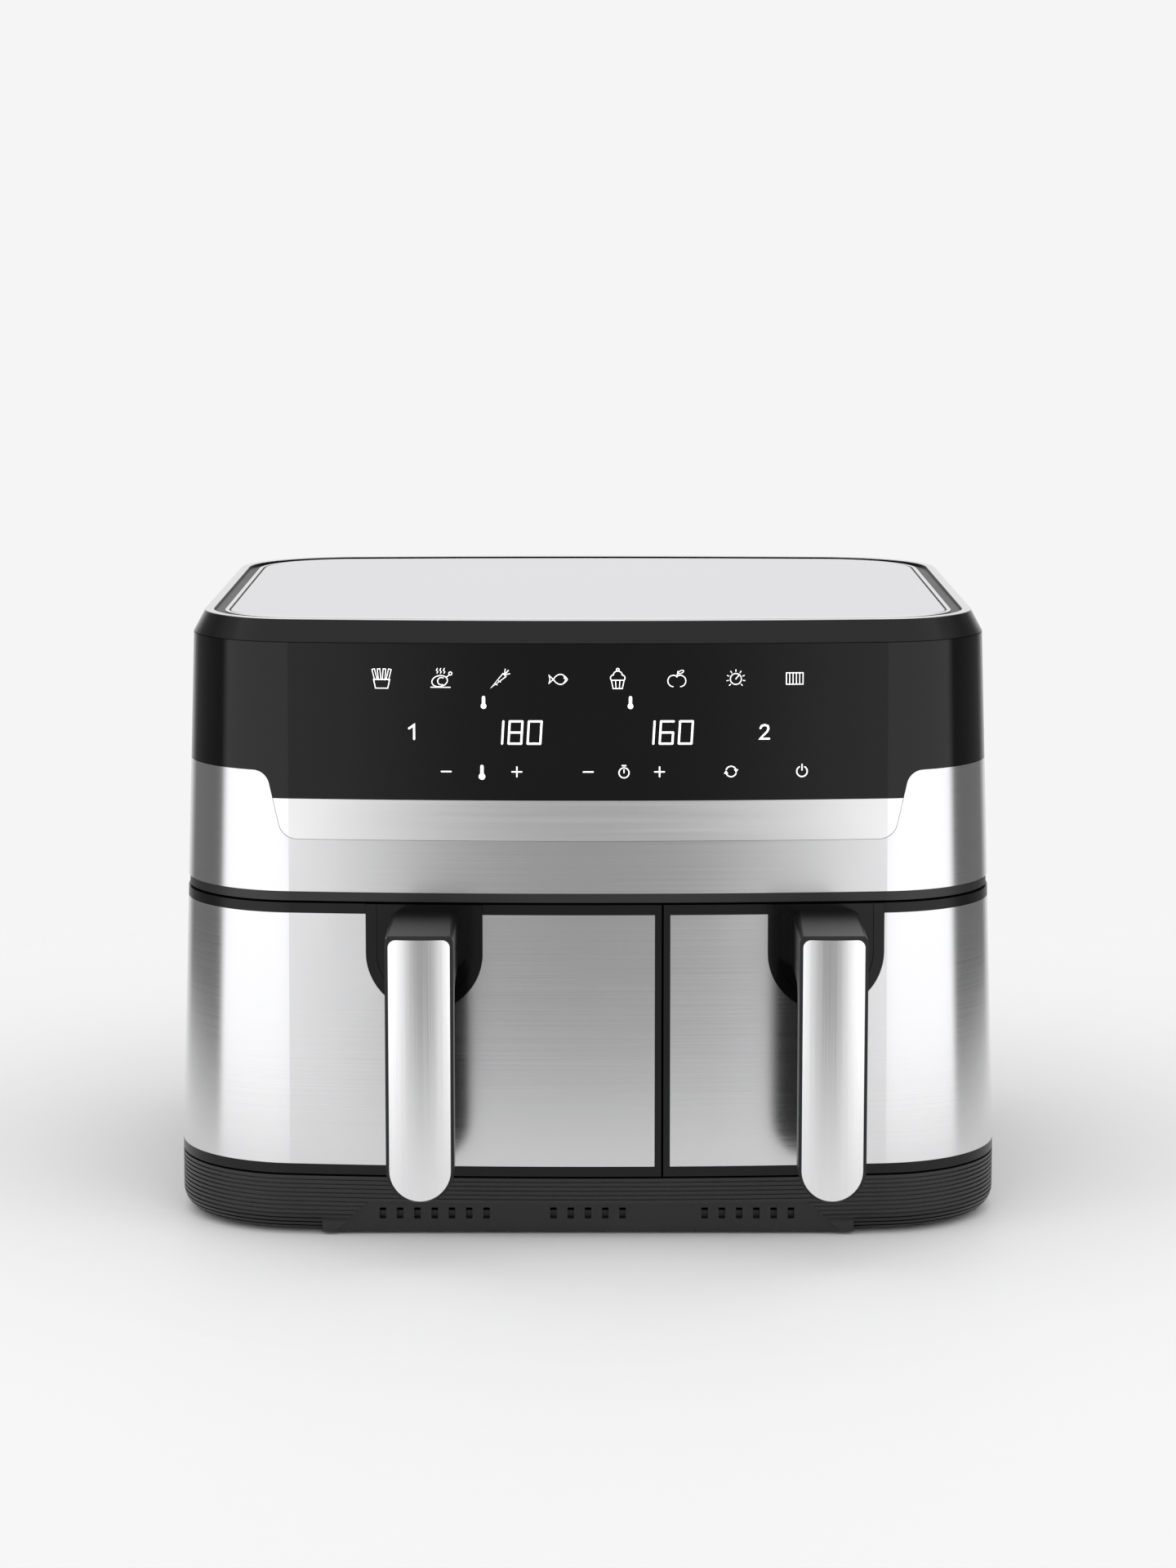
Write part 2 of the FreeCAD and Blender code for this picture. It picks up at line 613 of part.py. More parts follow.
def make_trim_strip():
    region = box("strip_region", ALL_X, ("front - 20", "side_seam"), ("tab_low - 5", "strip_high"))
    wall = skin("strip_skin", "-0.3", "1.3", "tab_low - 5", "strip_high", region)
    node("trim_strip", common("trim_strip", wall, panel_field("strip_field", "0")))


def make_control_panel():
    wall = skin("panel_skin", "0", "1.4", "strip_high + 0.2", "rim - slack", front_region("panel_region"))
    node("control_panel", common("control_panel", wall, panel_field("panel_field", "0")))


# ---------------------------------------------------------------- top

def ring(name, outer, inner, low, high):
    """An upright ring that follows the body's plan."""
    return cut(name, prism(name + "_outer", outer, outer, low, high),
               [prism(name + "_inner", inner, inner, f"{low} - 1", f"{high} + 1")])


def make_top():
    deck = join("deck_solid", [
        prism("deck_lower", "deck_inset", "deck_inset", "rim - deck_sheet", "rim"),
        prism("deck_upper", "plate_inset + 1.5", "plate_inset + 1.5", "rim", "plate_high - plate_sheet"),
    ])
    hollow = prism("deck_hollow", "plate_inset + 6", "plate_inset + 6", "rim - deck_sheet - 1",
                   "plate_high - plate_sheet - deck_sheet")
    node("top_deck", cut("top_deck", deck, [hollow]))
    bezel = cut("top_bezel", prism("bezel_outer", "rim_inset", "ring_inset", "rim", "top"),
                [prism("bezel_inner", "channel_inset", "channel_inset", "rim - 1", "top + 1")])
    node("top_bezel", bezel)
    channel = ring("channel_ring", "channel_inset + 0.1", "plate_inset - 0.2", "rim", "channel_high")
    groove = ring("channel_groove", "border_inset - 0.1", "border_inset + border_width + 0.1",
                  "top - border_height", "top + 2")
    node("top_channel", cut("top_channel", channel, [groove]))
    node("top_trim_ring", ring("top_trim_ring", "border_inset", "border_inset + border_width",
                               "top - border_height", "top - 0.5"))
    plate = doc.addObject("PartDesign::Body", "top_plate")
    sketch = body_sketch(plate, "top_plate_outline", "XY_Plane", "plate_high - plate_sheet")
    copy_outline(sketch, "plate_inset")
    feature(plate, "Pad", sketch, "plate_sheet")
    round_edges(plate, "top_plate_edge", "0.6", flat_at("plate_high"))
    node("top_plate", plate)


def copy_outline(sketch, inset):
    """Draws the body's plan in a sketch that already has its place."""
    source = outline("plan_for_" + sketch.Name, inset, "0")
    sketch.addGeometry(source.Geometry, False)
    for index, name in enumerate(source.Constraints):
        sketch.addConstraint(name)
        if name.Name:
            bind_name = "Constraints." + name.Name
            text = next(rule for path, rule in source.ExpressionEngine if path.strip(".") == bind_name)
            sketch.setExpression(bind_name, text)
    doc.removeObject(source.Name)


# ---------------------------------------------------------------- front electronics

def make_control_board():
    board = doc.addObject("PartDesign::Body", "control_board")
    sketch = body_sketch(board, "control_board_outline", "XZ_Plane", "board_front")
    draw(sketch, "edge", block("-board_half", "board_half", "board_low", "board_high", 3))
    feature(board, "Pad", sketch, "board_sheet", backward=True)
    parts = body_sketch(board, "control_board_parts", "XZ_Plane", "board_front + board_sheet")
    draw(parts, "chip", block("-18", "18", "board_low + 12", "board_low + 32", 1))
    draw(parts, "buzzer", block("60", "76", "board_low + 14", "board_low + 30", 7))
    draw(parts, "plug", block("-90", "-50", "board_low + 10", "board_low + 20", 1))
    feature(board, "Pad", parts, "7", backward=True)
    node("control_board", board)
    display = doc.addObject("PartDesign::Body", "display_module")
    glass = body_sketch(display, "display_outline", "XZ_Plane", "board_front")
    draw(glass, "edge", block("-display_half", "display_half", "display_high - display_height", "display_high", 2))
    feature(display, "Pad", glass, "display_depth")
    node("display_module", display)


def make_drawer_sensors(zones):
    sensors = []
    for side, zone in zones.items():
        middle = f"(({zone['low']} + {zone['high']}) / 2)"
        sensors.append(box(f"{side}_reed", (f"{middle} - reed_half", f"{middle} + reed_half"),
                           ("front + fascia_depth", "front + fascia_depth + reed_depth"),
                           ("band_low", "band_low + reed_height")))
    node("drawer_sensors", join("drawer_sensors", sensors))


def make_power_board():
    board = doc.addObject("PartDesign::Body", "power_board")
    sketch = body_sketch(board, "power_board_outline", "XZ_Plane", "power_front")
    draw(sketch, "edge", block("-power_half", "power_half", "power_low", "power_low + power_height", 3))
    feature(board, "Pad", sketch, "board_sheet", backward=True)
    parts = body_sketch(board, "power_board_parts", "XZ_Plane", "power_front")
    for index in range(4):
        low = f"-power_half + 10 + {index} * 26"
        draw(parts, f"relay_{index}", block(low, low + " + 18", "power_low + 12", "power_low + 34", 1))
    draw(parts, "transformer", block("-40", "-4", "power_low + 44", "power_low + 76", 2))
    draw_circle(parts, "capacitor", "24", "power_low + 60", "9")
    feature(board, "Pad", parts, "14")
    node("power_board", board)


# ---------------------------------------------------------------- heating and air, one set to a drawer

def make_liner(side, zone):
    middle_x = zone["centre"]
    outer = box(f"{side}_liner_outer", (zone["low"] + " - liner_sheet", zone["high"] + " + liner_sheet"),
                ("liner_front", "liner_rear + liner_sheet"), ("base_top", "ceiling"))
    inner = box(f"{side}_liner_inner", (zone["low"], zone["high"]), ("liner_front - 1", "liner_rear"),
                ("base_top + liner_sheet", "liner_high"))
    runner_z = ("lip_low - slack - runner_height", "lip_low - slack")
    runners = [
        box(f"{side}_runner_0", (zone["low"] + " - liner_sheet / 2", zone["low"] + " + runner_width"),
            ("liner_front", "liner_rear + liner_sheet / 2"), runner_z),
        box(f"{side}_runner_1", (zone["high"] + " - runner_width", zone["high"] + " + liner_sheet / 2"),
            ("liner_front", "liner_rear + liner_sheet / 2"), runner_z),
    ]
    holes = [rod(f"{side}_liner_shaft_hole", "shaft_radius + 2", "liner_high - 1", "ceiling + 1",
                 (middle_x, "middle"))]
    for index, spot in enumerate(heater_legs(zone)):
        holes.append(rod(f"{side}_liner_leg_hole_{index}", "coil_tube + slack", "liner_high - 1", "ceiling + 1", spot))
    holes.append(rod(f"{side}_liner_sensor_hole", "sensor_radius + slack", "liner_high - 1", "ceiling + 1",
                     sensor_spot(zone)))
    shell = cut(f"{side}_liner_shell", outer, [inner])
    solid = join(f"{side}_liner_solid", [shell] + runners)
    node(f"{side}_liner", cut(f"{side}_liner", solid, holes))


def heater_legs(zone):
    """Where the heating element's two ends rise through the liner's ceiling."""
    reach = f"sqrt({zone['coil']} ^ 2 - 100)"
    return [(f"{zone['centre']} + {reach}", f"middle + {side} * 10") for side in (-1, 1)]


def sensor_spot(zone):
    return (zone["centre"], f"middle - {zone['coil']} - 14")


def make_heater(side, zone):
    x = zone["centre"]
    outer = torus(f"{side}_coil_outer", zone["coil"], "coil_tube", x, "middle", "coil_level")
    inner = torus(f"{side}_coil_inner", f"{zone['coil']} - coil_step", "coil_tube", x, "middle", "coil_level")
    link = rod(f"{side}_coil_link", "coil_tube - 0.3", f"{x} - {zone['coil']}", f"{x} - {zone['coil']} + coil_step",
               ("middle", "coil_level"), "x")
    legs = [rod(f"{side}_coil_leg_{index}", "coil_tube - 0.1", "coil_level", "ceiling + 8", spot)
            for index, spot in enumerate(heater_legs(zone))]
    node(f"{side}_heater", join(f"{side}_heater", [outer, inner, link] + legs))


def make_heater_guard(side, zone):
    """A perforated disc below the element, hung from the liner's ceiling on four posts."""
    guard = doc.addObject("PartDesign::Body", f"{side}_heater_guard")
    edge = f"({zone['coil']} + guard_edge)"
    disc = body_sketch(guard, f"{side}_guard_disc", "XY_Plane", "guard_low")
    draw_circle(disc, "rim", zone["centre"], "middle", edge)
    draw_circle(disc, "eye", zone["centre"], "middle", "7")
    feature(guard, "Pad", disc, "guard_sheet")
    posts = body_sketch(guard, f"{side}_guard_posts", "XY_Plane", "guard_low")
    for index in range(4):
        angle = math.radians(45 + 90 * index)
        reach = f"({edge} - guard_post_inset)"
        draw_circle(posts, f"post_{index}", f"{zone['centre']} + {math.cos(angle):.6f} * {reach}",
                    f"middle + {math.sin(angle):.6f} * {reach}", "guard_post")
    feature(guard, "Pad", posts, "liner_high - guard_low")
    holes = []
    for ring_index in range(1, 5):
        count = 6 * ring_index
        reach = f"({edge} - guard_post_inset - 4) * {ring_index} / 4.4"
        for index in range(count):
            angle = 2 * math.pi * index / count
            spot = (f"{zone['centre']} + {math.cos(angle):.6f} * {reach}",
                    f"middle + {math.sin(angle):.6f} * {reach}")
            holes.append(rod(f"{side}_guard_hole_{ring_index}_{index}", "guard_hole", "guard_low - 1",
                             "guard_low + guard_sheet + 1", spot))
    node(f"{side}_heater_guard", cut(f"{side}_guard_drilled", guard, holes))


def make_fan(name, zone, radius, low, high, blades, plate_on_top):
    """A wheel of straight blades on a disc, with a hub that is bored for the shaft."""
    fan = doc.addObject("PartDesign::Body", name)
    disc_low = f"({high} - 1.5)" if plate_on_top else f"({low})"
    disc = body_sketch(fan, name + "_disc", "XY_Plane", disc_low)
    draw_circle(disc, "rim", zone["centre"], "middle", radius)
    feature(fan, "Pad", disc, "1.5")
    hub = body_sketch(fan, name + "_hub", "XY_Plane", low)
    draw_circle(hub, "hub", zone["centre"], "middle", "hub_radius")
    feature(fan, "Pad", hub, f"({high}) - ({low})")
    wheel = []
    for index in range(blades):
        blade = body_sketch(fan, f"{name}_blade_{index}", "XY_Plane", low)
        angle = 2 * math.pi * index / blades
        along, across = (math.cos(angle), math.sin(angle)), (-math.sin(angle), math.cos(angle))
        corners = []
        for reach, side in (("hub_radius - 1", -1), (f"{radius} - 2", -1), (f"{radius} - 2", 1),
                            ("hub_radius - 1", 1)):
            corners.append((
                f"{zone['centre']} + {along[0]:.6f} * ({reach}) + {side * across[0]:.6f} * blade_sheet / 2",
                f"middle + {along[1]:.6f} * ({reach}) + {side * across[1]:.6f} * blade_sheet / 2", 0))
        draw(blade, "edge", corners)
        wheel.append(feature(fan, "Pad", blade, f"({high}) - ({low})"))
    bore = body_sketch(fan, name + "_bore", "XY_Plane", high)
    draw_circle(bore, "bore", zone["centre"], "middle", "shaft_radius + 0.02")
    feature(fan, "Pocket", bore, f"({high}) - ({low})")
    node(name, fan)


def make_shaft(side, zone):
    shaft = rod(f"{side}_shaft", "shaft_radius", "fan_low - 2", "cooler_high + 1.5", (zone["centre"], "middle"))
    node(f"{side}_shaft", shaft)


def make_motor(side, zone):
    """A round motor, turned about the shaft's axis."""
    motor = doc.addObject("PartDesign::Body", f"{side}_motor")
    can = body_sketch(motor, f"{side}_motor_can", "XY_Plane", "motor_low")
    draw_circle(can, "can", zone["centre"], "middle", "motor_radius")
    feature(motor, "Pad", can, "motor_height - 3")
    nose = body_sketch(motor, f"{side}_motor_nose", "XY_Plane", "motor_high - 3")
    draw_circle(nose, "nose", zone["centre"], "middle", "hub_radius")
    feature(motor, "Pad", nose, "3")
    bore = body_sketch(motor, f"{side}_motor_bore", "XY_Plane", "motor_high")
    draw_circle(bore, "bore", zone["centre"], "middle", "shaft_radius + shaft_fit")
    feature(motor, "Pocket", bore, "motor_height")
    round_edges(motor, f"{side}_motor_edge", "2", flat_at("motor_high - 3"))
    node(f"{side}_motor", motor)


def make_motor_bracket(side, zone):
    bracket = doc.addObject("PartDesign::Body", f"{side}_motor_bracket")
    x = zone["centre"]
    plate = body_sketch(bracket, f"{side}_bracket_plate", "XY_Plane", "bracket_low")
    draw(plate, "edge", block(f"{x} - bracket_half", f"{x} + bracket_half", "middle - bracket_depth",
                              "middle + bracket_depth", 4))
    draw_circle(plate, "eye", x, "middle", "hub_radius + 1")
    feature(bracket, "Pad", plate, "bracket_sheet")
    legs = body_sketch(bracket, f"{side}_bracket_legs", "XY_Plane", "ceiling")
    for index, sign in enumerate((-1, 1)):
        edge = f"{x} + {sign} * bracket_half"
        inner = f"{x} + {sign} * (bracket_half - 8)"
        low, high = (edge, inner) if sign < 0 else (inner, edge)
        draw(legs, f"leg_{index}", block(low, high, "middle - bracket_depth + 5", "middle + bracket_depth - 5", 1))
    feature(bracket, "Pad", legs, "bracket_rise + bracket_sheet / 2")
    node(f"{side}_motor_bracket", bracket)


def make_temperature_sensor(side, zone):
    spot = sensor_spot(zone)
    probe = rod(f"{side}_probe", "sensor_radius", "coil_level - 2", "ceiling", spot)
    head = rod(f"{side}_probe_head", "sensor_radius * 2", "ceiling", "ceiling + 3", spot)
    node(f"{side}_temperature_sensor", join(f"{side}_temperature_sensor", [probe, head]))


# ---------------------------------------------------------------- drawers

def handle_screw_spots(zone):
    return [(f"{zone['centre']} + {side} * handle_screw_pitch / 2", "handle_screw_level") for side in (-1, 1)]


def pan_screw_spots(zone):
    return [(f"{zone['centre']} + {side} * pan_screw_pitch / 2", "pan_screw_level") for side in (-1, 1)]


def mount_outline(name, zone, half, grow):
    """The rounded tongue around the handle's root: straight up to the drawer's top, half round below."""
    x = zone["centre"]
    reach = f"({half} + {grow})"
    return slab(name, "XZ_Plane", block(f"{x} - {reach}", f"{x} + {reach}", f"mount_centre - {reach}",
                                        "drawer_high + 30", f"{reach} - 0.02"), "front - 20", "front + 30")


def drawer_region(name, zone, end):
    return box(name, (zone["fascia_low"], zone["fascia_high"]), ("front - 20", end), ALL_Z)


def make_fascia(side, zone):
    wrap = skin(f"{side}_fascia_wrap", "0", "fascia_wall", "drawer_low", "drawer_high",
                drawer_region(f"{side}_wrap_region", zone, "side_seam - slack"))
    face = common(f"{side}_fascia_face", form(f"{side}_face_form", "0", "drawer_low", "drawer_high"),
                  drawer_region(f"{side}_face_region", zone, "front + fascia_depth"))
    hollow = common(f"{side}_fascia_hollow",
                    form(f"{side}_hollow_form", "fascia_wall", "drawer_low + fascia_wall", "drawer_high - fascia_wall"),
                    box(f"{side}_hollow_box", (zone["hollow_low"], zone["hollow_high"]),
                        ("front - 20", "front + fascia_depth + 1"), ALL_Z))
    bosses = [rod(f"{side}_fascia_boss_{index}", "screw_radius + 4", "front", "front + fascia_depth", spot, "y")
              for index, spot in enumerate(handle_screw_spots(zone) + pan_screw_spots(zone))]
    inside = form(f"{side}_boss_form", "fascia_wall / 2", "drawer_low", "drawer_high")
    boss_solids = common(f"{side}_fascia_bosses", join(f"{side}_fascia_boss_rods", bosses), inside)
    open_face = cut(f"{side}_open_face", face, [hollow])
    solid = join(f"{side}_fascia_solid", [wrap, open_face, boss_solids])
    pocket = skin(f"{side}_panel_pocket", "-1", "panel_sheet + 0.1", "drawer_low + panel_border - 0.1",
                  "drawer_high - panel_border + 0.1", panel_region(f"{side}_pocket_region", zone, "0.1"))
    tongue = skin(f"{side}_tongue_pocket", "-1", "panel_sheet + 0.1", "drawer_low", "drawer_high + 1",
                  mount_outline(f"{side}_tongue_outline", zone, "mount_half", "0.1"))
    holes = [rod(f"{side}_fascia_screw_{index}", "screw_radius + 0.1", "front - 20", "front + fascia_depth + 1",
                 spot, "y") for index, spot in enumerate(handle_screw_spots(zone))]
    holes += [rod(f"{side}_fascia_pan_screw_{index}", "screw_radius + 0.1", "front + 13", "front + fascia_depth + 1",
                  spot, "y") for index, spot in enumerate(pan_screw_spots(zone))]
    holes += [rod(f"{side}_fascia_sink_{index}", "head_radius + 0.5", "front + fascia_depth - 3",
                  "front + fascia_depth + 1", spot, "y") for index, spot in enumerate(handle_screw_spots(zone))]
    node(f"{side}_drawer_fascia", cut(f"{side}_drawer_fascia", solid, [pocket, tongue] + holes))


def make_fascia_back(side, zone):
    plate = common(f"{side}_back_plate", form(f"{side}_back_form", "fascia_wall + slack", "drawer_low", "drawer_high"),
                   box(f"{side}_back_region", (zone["fascia_low"], zone["fascia_high"]),
                       ("front + fascia_depth", "door_back"), ALL_Z))
    holes = [rod(f"{side}_back_hole_{index}", "screw_radius + 0.1", "front", "door_back + 1", spot, "y")
             for index, spot in enumerate(pan_screw_spots(zone))]
    node(f"{side}_fascia_back", cut(f"{side}_fascia_back", plate, holes))


def panel_region(name, zone, grow):
    """Where a drawer's steel panel lies between its plastic borders."""
    return box(name, (f"{zone['panel_low']} - {grow}", f"{zone['panel_high']} + {grow}"),
               ("front - 20", f"side_seam - panel_side_border + {grow}"),
               (f"drawer_low + panel_border - {grow}", f"drawer_high - panel_border + {grow}"))


def make_front_panel(side, zone):
    sheet_metal = skin(f"{side}_panel_skin", "0", "panel_sheet", "drawer_low + panel_border",
                       "drawer_high - panel_border", panel_region(f"{side}_panel_region", zone, "0"))
    node(f"{side}_front_panel", cut(f"{side}_front_panel", sheet_metal,
                                    [mount_outline(f"{side}_panel_notch", zone, "mount_half", "0.15")]))


def make_handle_mount(side, zone):
    plate = skin(f"{side}_mount_skin", "-mount_proud", "panel_sheet", "drawer_low", "drawer_high",
                 mount_outline(f"{side}_mount_outline", zone, "mount_half", "0"))
    line = cut(f"{side}_mount_line",
               mount_outline(f"{side}_line_outer", zone, "mount_line", "mount_groove / 2"),
               [mount_outline(f"{side}_line_inner", zone, "mount_line", "-mount_groove / 2")])
    shallow = skin(f"{side}_mount_shallow", "-mount_proud - 1", "-mount_proud + 0.7", "drawer_low",
                   "drawer_high + 1", line)
    holes = [rod(f"{side}_mount_screw_{index}", "screw_radius + 0.1", "front - 20", "front + 30", spot, "y")
             for index, spot in enumerate(handle_screw_spots(zone))]
    node(f"{side}_handle_mount", cut(f"{side}_handle_mount", plate, [shallow] + holes))


def facing_solid(name, zone, border, sheet_depth):
    """The crowned sheet on the handle's face: square shoulders above, half round below."""
    x = zone["centre"]
    half = f"(grip_half - {border})"
    face = slab(name + "_face", "XZ_Plane", [
        (f"{x} - {half}", f"grip_low + {border} - 0.4", f"{half} - 0.05"),
        (f"{x} + {half}", f"grip_low + {border} - 0.4", f"{half} - 0.05"),
        (f"{x} + {half}", f"grip_high - {border}", "grip_edge - 0.5"),
        (f"{x} - {half}", f"grip_high - {border}", "grip_edge - 0.5"),
    ], "grip_front - 1", "grip_front + 6")
    spot = (x, "grip_front + grip_crown")
    crown = cut(name + "_crown", rod(name + "_outside", "grip_crown", "grip_low - 5", "grip_high + 5", spot),
                [rod(name + "_inside", f"grip_crown - ({sheet_depth})", "grip_low - 6", "grip_high + 6", spot)])
    return common(name, face, crown)


def make_handle(side, zone):
    x = zone["centre"]
    flank = slab(f"{side}_grip_flank", "YZ_Plane", [
        ("grip_front", "grip_low", "grip_edge"),
        ("grip_front + grip_depth", "grip_low", "grip_edge"),
        ("grip_front + grip_depth", "arm_low", 12),
        ("front + 12", "arm_low", 0),
        ("front + 12", "grip_high + 0.8", 0),
        ("grip_front", "grip_high", "grip_edge - 1"),
    ], f"{x} - grip_half", f"{x} + grip_half")
    face = slab(f"{side}_grip_face", "XZ_Plane", [
        (f"{x} - grip_half", "grip_low", "grip_half - 0.05"), (f"{x} + grip_half", "grip_low", "grip_half - 0.05"),
        (f"{x} + grip_half", "grip_high + 0.8", "grip_edge"), (f"{x} - grip_half", "grip_high + 0.8", "grip_edge"),
    ], "grip_front - 1", "front + 13")
    crown = rod(f"{side}_grip_crown", "grip_crown", "0", "top", (x, "grip_front + grip_crown"))
    bar = common(f"{side}_grip_bar", common(f"{side}_grip_profile", flank, face), crown)
    holes = [rod(f"{side}_arm_screw_{index}", "screw_radius + 0.1", "front - 14", "front + 30", spot, "y")
             for index, spot in enumerate(handle_screw_spots(zone))]
    body_form = form(f"{side}_grip_seat", "-mount_proud - 0.05", "base_height", "band_low")
    pocket = facing_solid(f"{side}_facing_pocket", zone, "(facing_border - 0.1)", "facing_sheet + 0.1")
    node(f"{side}_handle_grip", cut(f"{side}_handle_grip", bar, [body_form, pocket] + holes))
    node(f"{side}_handle_facing", facing_solid(f"{side}_handle_facing", zone, "facing_border", "facing_sheet"))


def make_pan(side, zone):
    pan = doc.addObject("PartDesign::Body", f"{side}_pan")
    low_x, high_x = zone["low"] + " + pan_gap", zone["high"] + " - pan_gap"
    outer = body_sketch(pan, f"{side}_pan_outer", "XY_Plane", "pan_low")
    draw(outer, "edge", block(low_x, high_x, "door_back", "pan_rear", "pan_corner"))
    feature(pan, "Pad", outer, "pan_high - pan_low")
    lip = body_sketch(pan, f"{side}_pan_lip", "XY_Plane", "lip_low")
    lip_low, lip_high = zone["low"] + " + lip_gap", zone["high"] + " - lip_gap"
    draw(lip, "edge", [
        (lip_low, "door_back + pan_corner", 3), (lip_high, "door_back + pan_corner", 3),
        (lip_high, "pan_rear + 1.5", "pan_corner"), (lip_low, "pan_rear + 1.5", "pan_corner"),
    ])
    feature(pan, "Pad", lip, "lip_sheet")
    inner = body_sketch(pan, f"{side}_pan_inner", "XY_Plane", "pan_high")
    draw(inner, "edge", block(low_x + " + pan_sheet", high_x + " - pan_sheet", "door_back + pan_sheet",
                              "pan_rear - pan_sheet", "pan_corner - pan_sheet"))
    feature(pan, "Pocket", inner, "pan_high - pan_low - pan_sheet")
    round_edges(pan, f"{side}_pan_inside", "pan_round - pan_sheet", flat_at("pan_low + pan_sheet"))
    round_edges(pan, f"{side}_pan_bottom", "pan_round", flat_at("pan_low"))
    holes = [rod(f"{side}_pan_hole_{index}", "screw_radius + 0.1", "front", "door_back + pan_sheet + 1", spot, "y")
             for index, spot in enumerate(pan_screw_spots(zone))]
    node(f"{side}_pan", cut(f"{side}_pan_drilled", pan, holes))


def make_drawer_screws(side, zone):
    """Two screws hold the handle and two hold the pan."""
    screws = []
    for index, spot in enumerate(handle_screw_spots(zone)):
        screws.append(rod(f"{side}_handle_screw_{index}", "screw_radius", "front - 12", "front + fascia_depth - 3",
                          spot, "y"))
        screws.append(rod(f"{side}_handle_screw_head_{index}", "head_radius", "front + fascia_depth - 3",
                          "front + fascia_depth - 3 + head_height", spot, "y"))
    for index, spot in enumerate(pan_screw_spots(zone)):
        screws.append(rod(f"{side}_pan_screw_{index}", "screw_radius", "front + 14", "door_back + pan_sheet",
                          spot, "y"))
        screws.append(rod(f"{side}_pan_screw_head_{index}", "head_radius", "door_back + pan_sheet",
                          "door_back + pan_sheet + head_height", spot, "y"))
    node(f"{side}_drawer_screws", join(f"{side}_drawer_screws", screws))


def make_grill(side, zone):
    """The lift-out plate that the food lies on, with long slots and four rubber bumpers below."""
    gap = "(pan_gap + pan_sheet + grill_gap)"
    low_x, high_x = f"({zone['low']} + {gap})", f"({zone['high']} - {gap})"
    low_y, high_y = "(door_back + pan_sheet + grill_gap)", "(pan_rear - pan_sheet - grill_gap)"
    plate = doc.addObject("PartDesign::Body", f"{side}_grill_plate")
    sketch = body_sketch(plate, f"{side}_grill_outline", "XY_Plane", "grill_low")
    draw(sketch, "edge", block(low_x, high_x, low_y, high_y, "pan_corner - pan_sheet - grill_gap"))
    feature(plate, "Pad", sketch, "grill_sheet")
    rows = math.floor(value(f"({high_y} - {low_y} - 40) / grill_pitch"))
    columns = 3 if side == "left" else 2
    slots = body_sketch(plate, f"{side}_grill_slots", "XY_Plane", "grill_low + grill_sheet")
    for column in range(columns):
        length = f"(({high_x} - {low_x} - 36) / {columns})"
        start = f"({low_x} + 18 + {column} * {length} + 4)"
        draw(slots, f"slot_{column}", block(start, f"{start} + {length} - 8", f"{low_y} + 22",
                                            f"{low_y} + 22 + grill_slot", "grill_slot / 2 - 0.02"))
    first_row = feature(plate, "Pocket", slots, "grill_sheet * 2")
    pattern = plate.newObject("PartDesign::LinearPattern", f"{side}_grill_rows")
    pattern.Originals = [first_row]
    pattern.Direction = (slots, ["V_Axis"])
    bind(pattern, "Length", f"{rows - 1} * grill_pitch")
    pattern.Occurrences = rows
    plate.Tip = pattern
    node(f"{side}_grill_plate", plate)
    bumpers = [rod(f"{side}_bumper_{x_side}_{y_side}", "bumper_radius", "pan_low + pan_sheet + slack", "grill_low",
                   (low_x + " + bumper_inset" if x_side < 0 else high_x + " - bumper_inset",
                    low_y + " + bumper_inset" if y_side < 0 else high_y + " - bumper_inset"))
               for x_side in (-1, 1) for y_side in (-1, 1)]
    node(f"{side}_plate_bumpers", join(f"{side}_plate_bumpers", bumpers))


# ---------------------------------------------------------------- the two zones

ZONES = {
    "left": {
        "low": "(-liner_half)", "high": "(split - split_wall / 2)",
        "fascia_low": "(-width)", "fascia_high": "(split - seam_gap)",
        "panel_low": "(-width)", "panel_high": "(split - seam_gap - panel_side_border)",
        "hollow_low": "(-width)", "hollow_high": "(split - seam_gap - fascia_wall)",
        "coil": "left_coil", "blades": "left_blades", "cooler": "left_cooler",
    },
    "right": {
        "low": "(split + split_wall / 2)", "high": "(liner_half)",
        "fascia_low": "(split + seam_gap)", "fascia_high": "(width)",
        "panel_low": "(split + seam_gap + panel_side_border)", "panel_high": "(width)",
        "hollow_low": "(split + seam_gap + fascia_wall)", "hollow_high": "(width)",
        "coil": "right_coil", "blades": "right_blades", "cooler": "right_cooler",
    },
}
for zone in ZONES.values():
    zone["centre"] = f"(({zone['low']} + {zone['high']}) / 2)"

make_base_tray()
make_bottom_cover()
make_feet()
make_base_screws()
make_front_frame(ZONES)
make_main_housing()
make_rear_cover()
make_cable_gland()
make_front_carrier()
make_steel_band()
make_trim_strip()
make_control_panel()
make_top()
make_control_board()
make_drawer_sensors(ZONES)
make_power_board()
for side, zone in ZONES.items():
    make_liner(side, zone)
    make_heater(side, zone)
    make_heater_guard(side, zone)
    make_fan(f"{side}_fan", zone, zone["blades"], "fan_low", "fan_high", 10, True)
    make_shaft(side, zone)
    make_motor(side, zone)
    make_motor_bracket(side, zone)
    make_fan(f"{side}_cooling_fan", zone, zone["cooler"], "cooler_low", "cooler_high", 8, False)
    make_temperature_sensor(side, zone)
    make_fascia(side, zone)
    make_fascia_back(side, zone)
    make_front_panel(side, zone)
    make_handle_mount(side, zone)
    make_handle(side, zone)
    make_pan(side, zone)
    make_drawer_screws(side, zone)
    make_grill(side, zone)

doc.recompute()

# ---------------------------------------------------------------- checks, then one file to a sub-part

failed = [item.Label for item in doc.Objects if "Invalid" in item.State or "Error" in item.State]
failed += [name for name, item in nodes if item.Shape.isNull() or not item.Shape.isValid()]
if failed:
    raise RuntimeError("these did not build: " + ", ".join(sorted(set(failed))))

